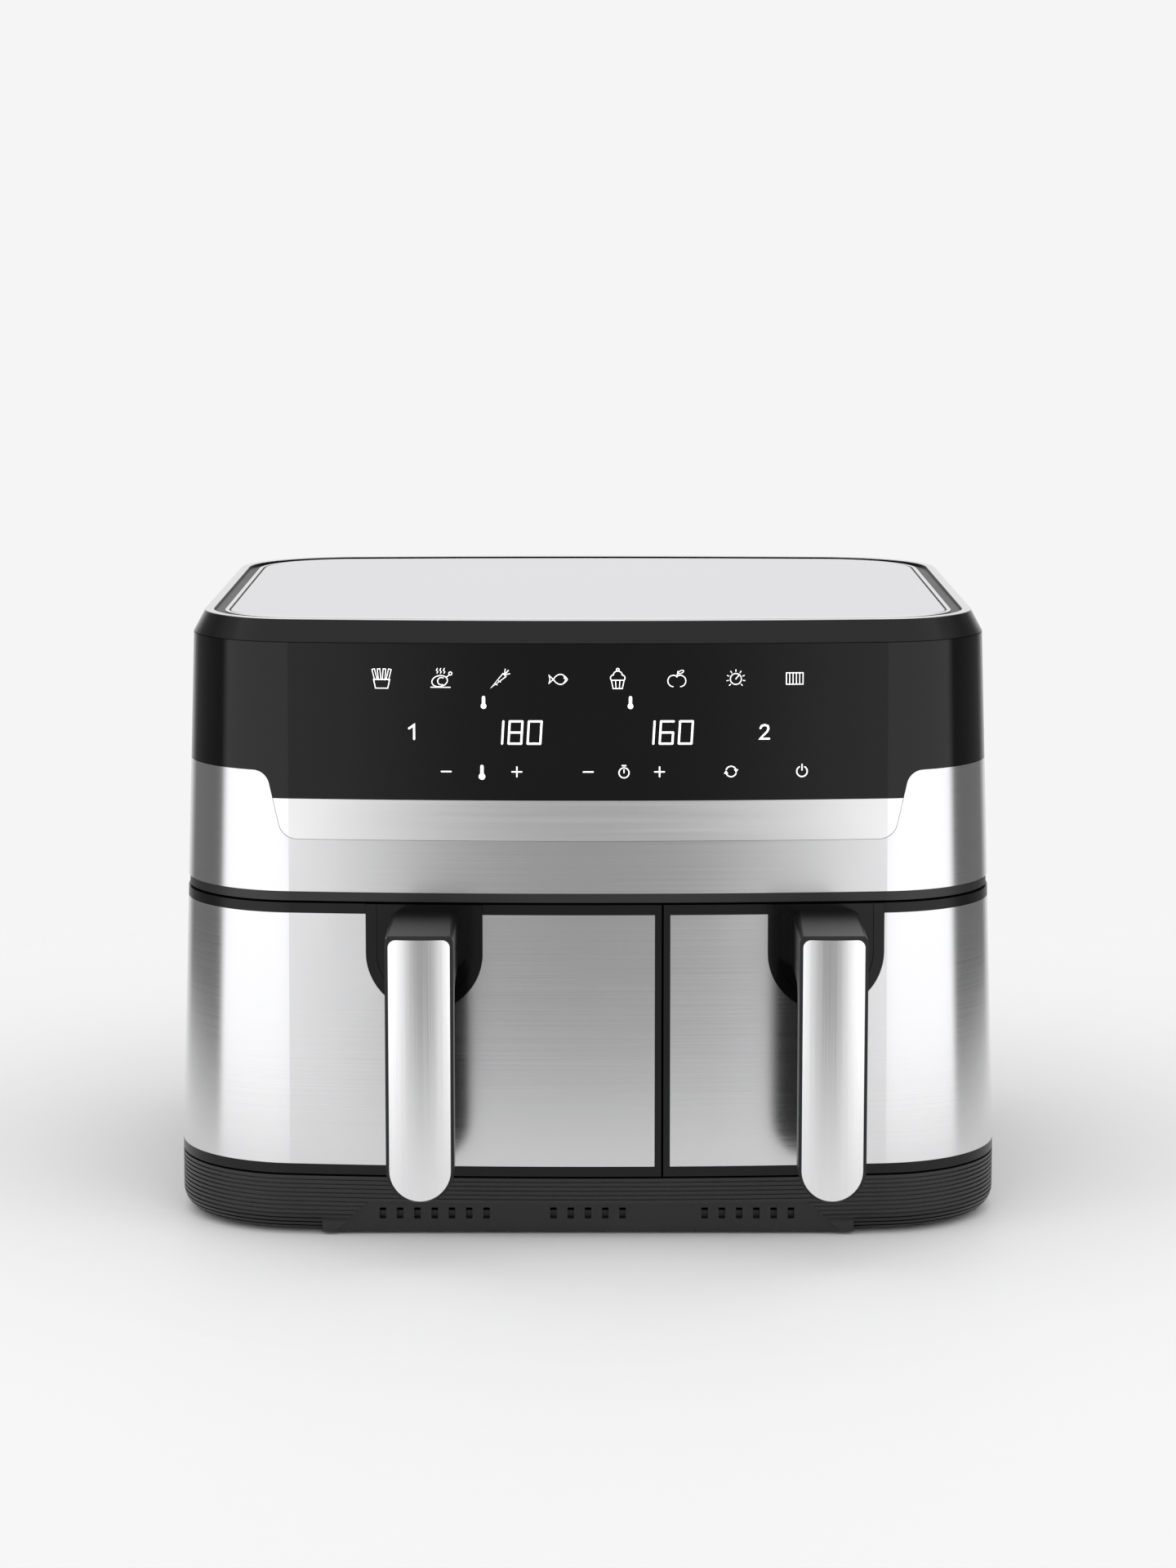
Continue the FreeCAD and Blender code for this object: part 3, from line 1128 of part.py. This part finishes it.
os.makedirs("parts", exist_ok=True)
for name, item in nodes:
    item.Shape.exportStep(f"parts/{name}.step")
    print(f"{name}: {len(item.Shape.Solids)} solid, {item.Shape.Volume / 1000:.2f} cm3")
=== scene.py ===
import json
import math
import bpy
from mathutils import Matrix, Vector


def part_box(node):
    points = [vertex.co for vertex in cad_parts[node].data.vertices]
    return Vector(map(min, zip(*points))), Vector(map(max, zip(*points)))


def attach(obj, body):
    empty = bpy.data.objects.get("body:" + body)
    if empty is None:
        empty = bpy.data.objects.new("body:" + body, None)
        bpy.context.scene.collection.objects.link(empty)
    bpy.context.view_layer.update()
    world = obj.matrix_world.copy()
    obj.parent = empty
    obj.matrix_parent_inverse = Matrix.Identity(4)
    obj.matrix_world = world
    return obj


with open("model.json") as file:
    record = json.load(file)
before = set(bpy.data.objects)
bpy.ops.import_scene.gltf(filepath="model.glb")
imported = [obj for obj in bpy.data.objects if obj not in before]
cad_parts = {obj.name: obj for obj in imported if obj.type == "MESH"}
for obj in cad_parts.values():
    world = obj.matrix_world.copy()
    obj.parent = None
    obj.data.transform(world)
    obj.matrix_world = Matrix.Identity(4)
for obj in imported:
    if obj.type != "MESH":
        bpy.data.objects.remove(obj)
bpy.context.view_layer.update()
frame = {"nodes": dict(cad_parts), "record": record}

# A two-drawer air fryer in a plain studio. Metres, in the CAD frame: +Z up, the front towards -Y.

MM = 0.001
NODES = frame["nodes"]
RECORD = frame["record"]

# ---------------------------------------------------------------- places read from the frame

PANEL_LOW, PANEL_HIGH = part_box("control_panel")
FRONT_LOW, FRONT_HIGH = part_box("left_drawer_fascia")
BEZEL_LOW, BEZEL_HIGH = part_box("top_bezel")
TRAY_LOW, TRAY_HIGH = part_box("base_tray")

SLOPE = 0.0335                    # how far the walls lean in for each unit of height
FRONT_BOW = 1.343                 # radius of the bowed front at the base
SEAM = TRAY_HIGH.z + 0.5 * MM     # the seam between base and drawers
FRONT_FACE = TRAY_LOW.y           # the bowed front's foremost line, at the base


# ---------------------------------------------------------------- materials

def new_tree(name):
    material = bpy.data.materials.new(name)
    material.use_nodes = True
    tree = material.node_tree
    shader = tree.nodes["Principled BSDF"]
    return material, tree, shader


def grain(tree, scale, detail=4.0):
    """Noise stretched by a different scale along each axis, in cycles per metre."""
    place = tree.nodes.new("ShaderNodeTexCoord")
    stretch = tree.nodes.new("ShaderNodeMapping")
    stretch.inputs["Scale"].default_value = scale
    noise = tree.nodes.new("ShaderNodeTexNoise")
    noise.inputs["Scale"].default_value = 1.0
    noise.inputs["Detail"].default_value = detail
    tree.links.new(place.outputs["Object"], stretch.inputs["Vector"])
    tree.links.new(stretch.outputs["Vector"], noise.inputs["Vector"])
    return noise.outputs["Fac"]


def spread(tree, source, low, high, start=0.25, end=0.75):
    """A value that runs from low to high as the source runs from start to end."""
    ramp = tree.nodes.new("ShaderNodeMapRange")
    ramp.inputs["From Min"].default_value = start
    ramp.inputs["From Max"].default_value = end
    ramp.inputs["To Min"].default_value = low
    ramp.inputs["To Max"].default_value = high
    tree.links.new(source, ramp.inputs["Value"])
    return ramp.outputs["Result"]


def blend_colour(tree, source, dark, light):
    mix = tree.nodes.new("ShaderNodeMix")
    mix.data_type = "RGBA"
    mix.inputs["A"].default_value = (*dark, 1)
    mix.inputs["B"].default_value = (*light, 1)
    tree.links.new(source, mix.inputs["Factor"])
    return mix.outputs["Result"]


def relief(tree, shader, source, strength, height):
    bump = tree.nodes.new("ShaderNodeBump")
    bump.inputs["Strength"].default_value = strength
    bump.inputs["Distance"].default_value = height
    tree.links.new(source, bump.inputs["Height"])
    tree.links.new(bump.outputs["Normal"], shader.inputs["Normal"])


def brushed(name, colour, scale, rough, contrast=0.10, stretch=0.0, turn_axis="Z"):
    """Brushed metal: fine streaks in colour and roughness, drawn out along the brushing."""
    material, tree, shader = new_tree(name)
    shader.inputs["Metallic"].default_value = 1.0
    streaks = grain(tree, scale, 6.0)
    dark = [part * (1 - contrast) for part in colour]
    light = [min(1.0, part * (1 + contrast)) for part in colour]
    tree.links.new(blend_colour(tree, spread(tree, streaks, 0.0, 1.0), dark, light), shader.inputs["Base Color"])
    tree.links.new(spread(tree, streaks, rough - 0.04, rough + 0.05), shader.inputs["Roughness"])
    if stretch:
        shader.inputs["Anisotropic"].default_value = stretch
        shader.inputs["Anisotropic Rotation"].default_value = 0.25
        tangent = tree.nodes.new("ShaderNodeTangent")
        tangent.direction_type = "RADIAL"
        tangent.axis = turn_axis
        tree.links.new(tangent.outputs["Tangent"], shader.inputs["Tangent"])
    relief(tree, shader, streaks, 0.06, 0.02 * MM)
    return material


def plastic(name, colour, rough, pebble=900.0, depth=0.04, variation=0.12, coat=0.0, shine=0.5):
    """Moulded plastic or coating: a fine pebble in the surface and a slow drift in the gloss."""
    material, tree, shader = new_tree(name)
    pebbles = grain(tree, (pebble, pebble, pebble), 2.0)
    drift = grain(tree, (14.0, 14.0, 14.0), 2.0)
    dark = [part * (1 - variation) for part in colour]
    light = [min(1.0, part * (1 + variation)) for part in colour]
    tree.links.new(blend_colour(tree, spread(tree, drift, 0.0, 1.0), dark, light), shader.inputs["Base Color"])
    tree.links.new(spread(tree, drift, rough * 0.92, rough * 1.08), shader.inputs["Roughness"])
    shader.inputs["Specular IOR Level"].default_value = shine
    shader.inputs["Coat Weight"].default_value = coat
    shader.inputs["Coat Roughness"].default_value = 0.05
    relief(tree, shader, pebbles, depth, 0.05 * MM)
    return material


def bezel_material():
    """Gloss black with a bright metal line on the flat top of the bezel."""
    material, tree, shader = new_tree("bezel_black_and_bright")
    place = tree.nodes.new("ShaderNodeTexCoord")
    split = tree.nodes.new("ShaderNodeSeparateXYZ")
    tree.links.new(place.outputs["Object"], split.inputs["Vector"])
    top_mask = spread(tree, split.outputs["Z"], 0.0, 1.0, BEZEL_HIGH.z - 0.25 * MM, BEZEL_HIGH.z - 0.15 * MM)
    drift = grain(tree, (14.0, 14.0, 14.0), 2.0)
    black = blend_colour(tree, drift, (0.003, 0.003, 0.003), (0.004, 0.004, 0.004))
    mix = tree.nodes.new("ShaderNodeMix")
    mix.data_type = "RGBA"
    mix.inputs["B"].default_value = (0.82, 0.82, 0.83, 1)
    tree.links.new(top_mask, mix.inputs["Factor"])
    tree.links.new(black, mix.inputs["A"])
    tree.links.new(mix.outputs["Result"], shader.inputs["Base Color"])
    tree.links.new(top_mask, shader.inputs["Metallic"])
    tree.links.new(spread(tree, top_mask, 0.14, 0.28, 0.0, 1.0), shader.inputs["Roughness"])
    tree.links.new(spread(tree, top_mask, 0.28, 0.5, 0.0, 1.0), shader.inputs["Specular IOR Level"])
    return material


def glow_material():
    """The panel's lit graphics: white, a touch uneven as a diffused lamp is."""
    material, tree, shader = new_tree("panel_light")
    drift = grain(tree, (180.0, 180.0, 180.0), 1.0)
    tint = blend_colour(tree, drift, (0.88, 0.89, 0.90), (1.0, 1.0, 1.0))
    tree.links.new(tint, shader.inputs["Base Color"])
    tree.links.new(tint, shader.inputs["Emission Color"])
    shader.inputs["Emission Strength"].default_value = 0.75
    shader.inputs["Roughness"].default_value = 0.5
    return material


MATERIALS = {
    "base_plastic": plastic("base_plastic", (0.009, 0.009, 0.0095), 0.36, 700.0, 0.05),
    "rubber": plastic("rubber", (0.020, 0.020, 0.020), 0.75, 1400.0, 0.10),
    "screw_steel": brushed("screw_steel", (0.60, 0.60, 0.60), (300, 300, 300), 0.30),
    "inner_plastic": plastic("inner_plastic", (0.008, 0.008, 0.009), 0.42, 800.0, 0.04),
    "housing_plastic": plastic("housing_plastic", (0.011, 0.011, 0.012), 0.42, 1100.0, 0.10),
    "brushed_steel": brushed("brushed_steel", (0.70, 0.70, 0.71), (6, 6, 5200), 0.19, 0.035, 0.5),
    "satin_trim": brushed("satin_trim", (0.82, 0.82, 0.82), (5, 5, 300), 0.22, 0.02, 0.4),
    "gloss_black": plastic("gloss_black", (0.003, 0.003, 0.0033), 0.13, 500.0, 0.0, 0.08, shine=0.28),
    "bezel_silver": bezel_material(),
    "bright_trim": brushed("bright_trim", (0.85, 0.85, 0.86), (40, 40, 40), 0.18, 0.03),
    "top_steel": brushed("top_steel", (0.80, 0.80, 0.83), (7, 900, 7), 0.34, 0.02),
    "circuit_board": plastic("circuit_board", (0.02, 0.14, 0.06), 0.35, 400.0, 0.08),
    "liner_steel": brushed("liner_steel", (0.50, 0.50, 0.50), (60, 60, 60), 0.38, 0.15),
    "element_steel": brushed("element_steel", (0.20, 0.18, 0.16), (90, 90, 90), 0.45, 0.20),
    "fan_metal": brushed("fan_metal", (0.58, 0.58, 0.58), (80, 80, 80), 0.35, 0.12),
    "motor_metal": brushed("motor_metal", (0.35, 0.35, 0.36), (70, 70, 70), 0.42, 0.12),
    "fascia_plastic": plastic("fascia_plastic", (0.004, 0.004, 0.0045), 0.30, 700.0, 0.03, shine=0.25),
    "grip_plastic": plastic("grip_plastic", (0.004, 0.004, 0.0045), 0.32, 900.0, 0.04, shine=0.3),
    "facing_steel": brushed("facing_steel", (0.78, 0.78, 0.79), (1600, 1600, 6), 0.17, 0.04),
    "coated_pan": plastic("coated_pan", (0.030, 0.030, 0.032), 0.48, 1500.0, 0.18, 0.25),
}

SLOT_OF = {part["node"]: part["material_slot"] for part in RECORD["subparts"]}
for name, item in NODES.items():
    item.data.materials.clear()
    item.data.materials.append(MATERIALS[SLOT_OF[name]])


# ---------------------------------------------------------------- the touch panel's graphics

LIGHT = glow_material()
PRINT_LIFT = 0.12 * MM


def panel_point(x, z):
    """A point just proud of the bowed, leaning panel."""
    bow = FRONT_BOW - SLOPE * (z - SEAM)
    y = FRONT_FACE + SLOPE * (z - SEAM) + bow - math.sqrt(bow ** 2 - x ** 2)
    return (x, y - PRINT_LIFT, z)


class Drawing:
    """Flat shapes in millimetres about a centre, gathered into one mesh on the panel."""

    def __init__(self, x, z, size=1.0):
        self.x, self.z, self.size = x, z, size
        self.points, self.faces = [], []

    def _add(self, ring):
        start = len(self.points)
        self.points += [panel_point((self.x + px * self.size) * MM, (self.z + pz * self.size) * MM)
                        for px, pz in ring]
        self.faces.append(tuple(range(start, start + len(ring))))

    def fill(self, ring):
        self._add(ring)

    def disc(self, cx, cz, radius, count=20):
        self._add([(cx + radius * math.cos(2 * math.pi * i / count), cz + radius * math.sin(2 * math.pi * i / count))
                   for i in range(count)])

    def line(self, run, width=0.42, closed=False):
        """A stroke of even width through the points, with mitred turns and round ends."""
        spots = [Vector(spot) for spot in run]
        count = len(spots)
        half = width / 2 / self.size
        sides = []
        for i, spot in enumerate(spots):
            before = spots[i - 1] if (i > 0 or closed) else None
            after = spots[(i + 1) % count] if (i < count - 1 or closed) else None
            ways = []
            if before is not None:
                ways.append((spot - before).normalized())
            if after is not None:
                ways.append((after - spot).normalized())
            way = sum(ways, Vector((0, 0)))
            way = way.normalized() if way.length > 0.001 else ways[0]
            normal = Vector((-way.y, way.x))
            stretch = 1.0 if len(ways) == 1 else 1 / max(0.5, abs(normal.dot(Vector((-ways[0].y, ways[0].x)))))
            sides.append((spot + normal * half * stretch, spot - normal * half * stretch))
        for i in range(count if closed else count - 1):
            a, b = sides[i], sides[(i + 1) % count]
            self._add([a[1], b[1], b[0], a[0]])
        if not closed:
            for spot in (spots[0], spots[-1]):
                self.disc(spot.x, spot.y, half, 8)

    def arc(self, cx, cz, radius, start, end, width=0.42):
        steps = max(4, int(abs(end - start) / 12))
        turn = [math.radians(start + (end - start) * i / steps) for i in range(steps + 1)]
        self.line([(cx + radius * math.cos(a), cz + radius * math.sin(a)) for a in turn], width)

    def ring(self, cx, cz, radius_x, radius_z=None, tilt=0.0, width=0.42):
        radius_z = radius_x if radius_z is None else radius_z
        lean = math.radians(tilt)
        run = []
        for i in range(28):
            a = 2 * math.pi * i / 28
            px, pz = radius_x * math.cos(a), radius_z * math.sin(a)
            run.append((cx + px * math.cos(lean) - pz * math.sin(lean),
                        cz + px * math.sin(lean) + pz * math.cos(lean)))
        self.line(run, width, True)

    def finish(self, name):
        mesh = bpy.data.meshes.new(name)
        mesh.from_pydata(self.points, [], self.faces)
        mesh.update()
        item = bpy.data.objects.new(name, mesh)
        bpy.context.scene.collection.objects.link(item)
        mesh.materials.append(LIGHT)
        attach(item, "housing")
        return item


def draw_fries(d):
    for x, tilt in ((-2.6, -14), (-0.9, -5), (0.9, 5), (2.6, 14)):
        lean = math.radians(tilt)
        dx, dz = math.sin(lean), math.cos(lean)
        foot, head = (x, -0.6), (x + dx * 5, -0.6 + dz * 5)
        side = (dz * 0.6, -dx * 0.6)
        d.line([(foot[0] - side[0], foot[1] - side[1]), (head[0] - side[0], head[1] - side[1]),
                (head[0] + side[0], head[1] + side[1]), (foot[0] + side[0], foot[1] + side[1])], 0.36)
    d.line([(-3.7, -0.4), (3.7, -0.4), (2.8, -4.4), (-2.8, -4.4)], 0.42, True)


def draw_roast(d):
    d.ring(-0.4, -1.0, 3.6, 2.5, 12)
    d.arc(0.4, -1.0, 1.7, 60, 290)
    d.line([(2.6, 0.7), (4.1, 2.0)])
    d.ring(4.5, 2.5, 0.7)
    d.line([(-4.4, -3.8), (4.4, -3.8)])
    for x in (-1.6, 0.0, 1.6):
        d.line([(x, 2.6), (x + 0.4, 3.3), (x - 0.3, 4.0), (x + 0.2, 4.8)], 0.36)


def draw_carrot(d):
    d.line([(-4.0, -4.0), (1.6, 2.6), (2.9, 1.2)], 0.42, True)
    for step in (0.35, 0.6):
        x, z = -4.0 + 5.9 * step, -4.0 + 5.4 * step
        d.line([(x, z), (x + 0.9, z - 0.5)], 0.36)
    for dx, dz in ((0.3, 2.6), (1.7, 2.0), (2.3, 0.5)):
        d.line([(2.3, 2.0), (2.3 + dx, 2.0 + dz)], 0.42)


def draw_fish(d):
    d.line([(-2.4, 0)] + [(-2.4 + 6.4 * i / 10, 2.3 * math.sin(math.pi * i / 10) ** 0.8) for i in range(1, 10)]
           + [(4.0, 0)] + [(4.0 - 6.4 * i / 10, -2.3 * math.sin(math.pi * i / 10) ** 0.8) for i in range(1, 10)],
           0.42, True)
    d.line([(-2.4, 0), (-4.4, 1.9), (-3.9, 0), (-4.4, -1.9)], 0.42, True)
    d.arc(1.2, 0, 1.9, -50, 50, 0.36)
    d.disc(2.6, 0.6, 0.32, 10)


def draw_cake(d):
    d.line([(-2.9, -0.4), (2.9, -0.4), (2.1, -4.2), (-2.1, -4.2)], 0.42, True)
    for x in (-1.0, 1.0):
        d.line([(x, -0.4), (x * 0.75, -4.2)], 0.36)
    d.arc(-1.9, 0.6, 1.4, 90, 225)
    d.arc(1.9, 0.6, 1.4, -45, 90)
    d.arc(0, 1.7, 2.1, 10, 170)
    d.ring(0, 4.4, 0.6)


def draw_apple(d):
    d.arc(-1.5, -0.8, 2.6, 50, 265)
    d.arc(1.5, -0.8, 2.6, -85, 130)
    d.line([(0, 1.0), (0.5, 3.6)])
    d.ring(1.9, 3.3, 1.3, 0.6, 25, 0.36)


def draw_dial(d):
    d.ring(0, 0, 2.5)
    d.line([(0, 0), (1.3, 1.6)])
    for i in range(9):
        a = math.radians(-45 + 270 * i / 8)
        d.line([(3.4 * math.cos(a), 3.4 * math.sin(a)), (4.2 * math.cos(a), 4.2 * math.sin(a))], 0.36)


def draw_grate(d):
    d.line([(-3.8, -2.6), (3.8, -2.6), (3.8, 2.6), (-3.8, 2.6)], 0.42, True)
    for i in range(1, 5):
        x = -3.8 + 7.6 * i / 5
        d.line([(x, -2.6), (x, 2.6)], 0.36)


def draw_thermometer(d):
    d.line([(0, 2.4), (0, -1.4)], 1.5)
    d.disc(0, -2.2, 1.5)


def draw_minus(d):
    d.line([(-2.2, 0), (2.2, 0)], 0.62)


def draw_plus(d):
    draw_minus(d)
    d.line([(0, -2.2), (0, 2.2)], 0.62)


def draw_timer(d):
    d.ring(0, -0.4, 2.3, width=0.5)
    d.line([(0, -0.4), (0, 1.0)], 0.5)
    d.line([(-0.8, 2.9), (0.8, 2.9)], 0.6)


def draw_link(d):
    d.arc(0, 0, 2.4, 20, 160, 0.5)
    d.arc(0, 0, 2.4, 200, 340, 0.5)
    d.fill([(2.3, -0.5), (3.3, 1.0), (1.3, 1.0)])
    d.fill([(-2.3, 0.5), (-3.3, -1.0), (-1.3, -1.0)])


def draw_power(d):
    d.arc(0, -0.2, 2.4, 120, 420, 0.55)
    d.line([(0, 0.4), (0, 3.0)], 0.55)


SEGMENTS = {"0": "abcdef", "1": "bc", "6": "afedcg", "8": "abcdefg"}


def draw_digit(d, sign, x, wide, tall, lean=0.06):
    """A seven-segment sign whose strokes lean a little."""
    corner = {"tl": (0, tall), "tr": (wide, tall), "ml": (0, tall / 2), "mr": (wide, tall / 2),
              "bl": (0, 0), "br": (wide, 0)}
    ends = {"a": ("tl", "tr"), "b": ("tr", "mr"), "c": ("mr", "br"), "d": ("bl", "br"), "e": ("ml", "bl"),
            "f": ("tl", "ml"), "g": ("ml", "mr")}
    for segment in SEGMENTS[sign]:
        run = []
        for end in ends[segment]:
            px, pz = corner[end]
            run.append((x + px + lean * pz, pz - tall / 2))
        d.line(run, 0.95)


ICON_LEVEL, SMALL_LEVEL, DIGIT_LEVEL, KEY_LEVEL = 259.0, 248.6, 234.7, 216.7
ICON_PITCH = 26.85
ROW_ICONS = (draw_fries, draw_roast, draw_carrot, draw_fish, draw_cake, draw_apple, draw_dial, draw_grate)

for index, draw in enumerate(ROW_ICONS):
    sign = Drawing(-93.9 + ICON_PITCH * index, ICON_LEVEL)
    draw(sign)
    sign.finish("icon_" + draw.__name__[5:])

for index, x in enumerate((-47.5, 19.3)):
    sign = Drawing(x, SMALL_LEVEL, 0.85)
    draw_thermometer(sign)
    sign.finish(f"small_thermometer_{index + 1}")

KEYS = (("minus_1", draw_minus, -64.6), ("thermometer_1", draw_thermometer, -48.3), ("plus_1", draw_plus, -32.4),
        ("minus_2", draw_minus, 0.1), ("timer", draw_timer, 16.4), ("plus_2", draw_plus, 32.6),
        ("link", draw_link, 65.2), ("power", draw_power, 97.6))
for name, draw, x in KEYS:
    sign = Drawing(x, KEY_LEVEL)
    draw(sign)
    sign.finish("key_" + name)

for name, text, x in (("left", "180", -44.9), ("right", "160", 23.9)):
    sign = Drawing(x, DIGIT_LEVEL)
    for index, letter in enumerate(text):
        draw_digit(sign, letter, index * 8.7, 5.8, 10.2)
    sign.finish("readout_" + name)

sign = Drawing(-79.8, DIGIT_LEVEL)
sign.line([(-1.7, 1.6), (0.6, 3.2), (0.6, -3.2)], 0.95)
sign.finish("zone_number_1")
sign = Drawing(80.4, DIGIT_LEVEL)
sign.line([(-1.9, 1.7), (-1.3, 2.8), (0.1, 3.2), (1.5, 2.7), (1.8, 1.5), (1.2, 0.2), (-2.0, -3.1), (2.1, -3.1)], 0.9)
sign.finish("zone_number_2")


# ---------------------------------------------------------------- floor, light and camera

BACKGROUND = 0.913
FLOOR_DARK, FLOOR_LIGHT = (0.90, 0.90, 0.90), (0.91, 0.91, 0.91)


def make_floor():
    """A pale floor that fades into the backdrop well before the horizon."""
    mesh = bpy.data.meshes.new("studio_floor")
    reach = 1.4
    mesh.from_pydata([(-reach, -reach, 0), (reach, -reach, 0), (reach, reach, 0), (-reach, reach, 0)],
                     [], [(0, 1, 2, 3)])
    floor = bpy.data.objects.new("studio_floor", mesh)
    bpy.context.scene.collection.objects.link(floor)
    material, tree, shader = new_tree("studio_floor")
    shader.inputs["Roughness"].default_value = 0.6
    shader.inputs["Specular IOR Level"].default_value = 0.1
    drift = grain(tree, (0.8, 0.8, 0.8), 1.0)
    tree.links.new(blend_colour(tree, drift, FLOOR_DARK, FLOOR_LIGHT), shader.inputs["Base Color"])
    place = tree.nodes.new("ShaderNodeTexCoord")
    length = tree.nodes.new("ShaderNodeVectorMath")
    length.operation = "LENGTH"
    tree.links.new(place.outputs["Object"], length.inputs[0])
    tree.links.new(spread(tree, length.outputs["Value"], 1.0, 0.0, 0.35, 0.80), shader.inputs["Alpha"])
    mesh.materials.append(material)


def make_world():
    """Light that depends on where it comes from: broad bright sides, a greyer front, a soft top."""
    world = bpy.data.worlds.new("studio")
    bpy.context.scene.world = world
    world.use_nodes = True
    tree = world.node_tree
    tree.nodes.clear()
    coords = tree.nodes.new("ShaderNodeTexCoord")
    split = tree.nodes.new("ShaderNodeSeparateXYZ")
    tree.links.new(coords.outputs["Generated"], split.inputs["Vector"])

    def maths(kind, first, second=None):
        item = tree.nodes.new("ShaderNodeMath")
        item.operation = kind
        for slot_index, source in enumerate((first, second)):
            if source is None:
                continue
            if isinstance(source, float):
                item.inputs[slot_index].default_value = source
            else:
                tree.links.new(source, item.inputs[slot_index])
        return item.outputs["Value"]

    across = maths("ABSOLUTE", split.outputs["X"])
    ahead = maths("MULTIPLY", split.outputs["Y"], -1.0)
    angle = maths("DIVIDE", maths("ARCTAN2", across, ahead), math.pi)
    around = tree.nodes.new("ShaderNodeValToRGB")
    ramp = around.color_ramp
    stops = ((0.0, 0.36), (0.035, 0.40), (0.075, 0.95), (0.11, 1.45), (0.46, 1.45), (0.50, 0.16),
             (0.78, 0.20), (0.88, 0.80), (1.0, 0.85))
    while len(ramp.elements) < len(stops):
        ramp.elements.new(0.5)
    for element, (spot, level) in zip(ramp.elements, stops):
        element.position = spot
        element.color = (level, level, level, 1)
    tree.links.new(angle, around.inputs["Fac"])
    rise = tree.nodes.new("ShaderNodeMapRange")
    rise.interpolation_type = "SMOOTHSTEP"
    for socket, number in (("From Min", 0.35), ("From Max", 0.70), ("To Min", 0.0), ("To Max", 1.0)):
        rise.inputs[socket].default_value = number
    tree.links.new(split.outputs["Z"], rise.inputs["Value"])
    mix = tree.nodes.new("ShaderNodeMix")
    mix.data_type = "RGBA"
    mix.inputs["B"].default_value = (1.15, 1.15, 1.15, 1)
    tree.links.new(rise.outputs["Result"], mix.inputs["Factor"])
    tree.links.new(around.outputs["Color"], mix.inputs["A"])
    light = tree.nodes.new("ShaderNodeBackground")
    tree.links.new(mix.outputs["Result"], light.inputs["Color"])
    seen = tree.nodes.new("ShaderNodeBackground")
    seen.inputs["Color"].default_value = (BACKGROUND, BACKGROUND, BACKGROUND, 1)
    path = tree.nodes.new("ShaderNodeLightPath")
    choose = tree.nodes.new("ShaderNodeMixShader")
    tree.links.new(path.outputs["Is Camera Ray"], choose.inputs["Fac"])
    tree.links.new(light.outputs["Background"], choose.inputs[1])
    tree.links.new(seen.outputs["Background"], choose.inputs[2])
    out = tree.nodes.new("ShaderNodeOutputWorld")
    tree.links.new(choose.outputs["Shader"], out.inputs["Surface"])


def make_camera():
    data = bpy.data.cameras.new("camera")
    data.lens = 93.33
    data.sensor_width = 36.0
    camera = bpy.data.objects.new("camera", data)
    bpy.context.scene.collection.objects.link(camera)
    camera.location = (0.0, FRONT_FACE - 1.8249, 0.4853)
    camera.rotation_euler = (math.pi / 2 - 0.1486, 0, 0)
    bpy.context.scene.camera = camera


make_floor()
make_world()
make_camera()
bpy.context.scene.view_settings.view_transform = "Standard"
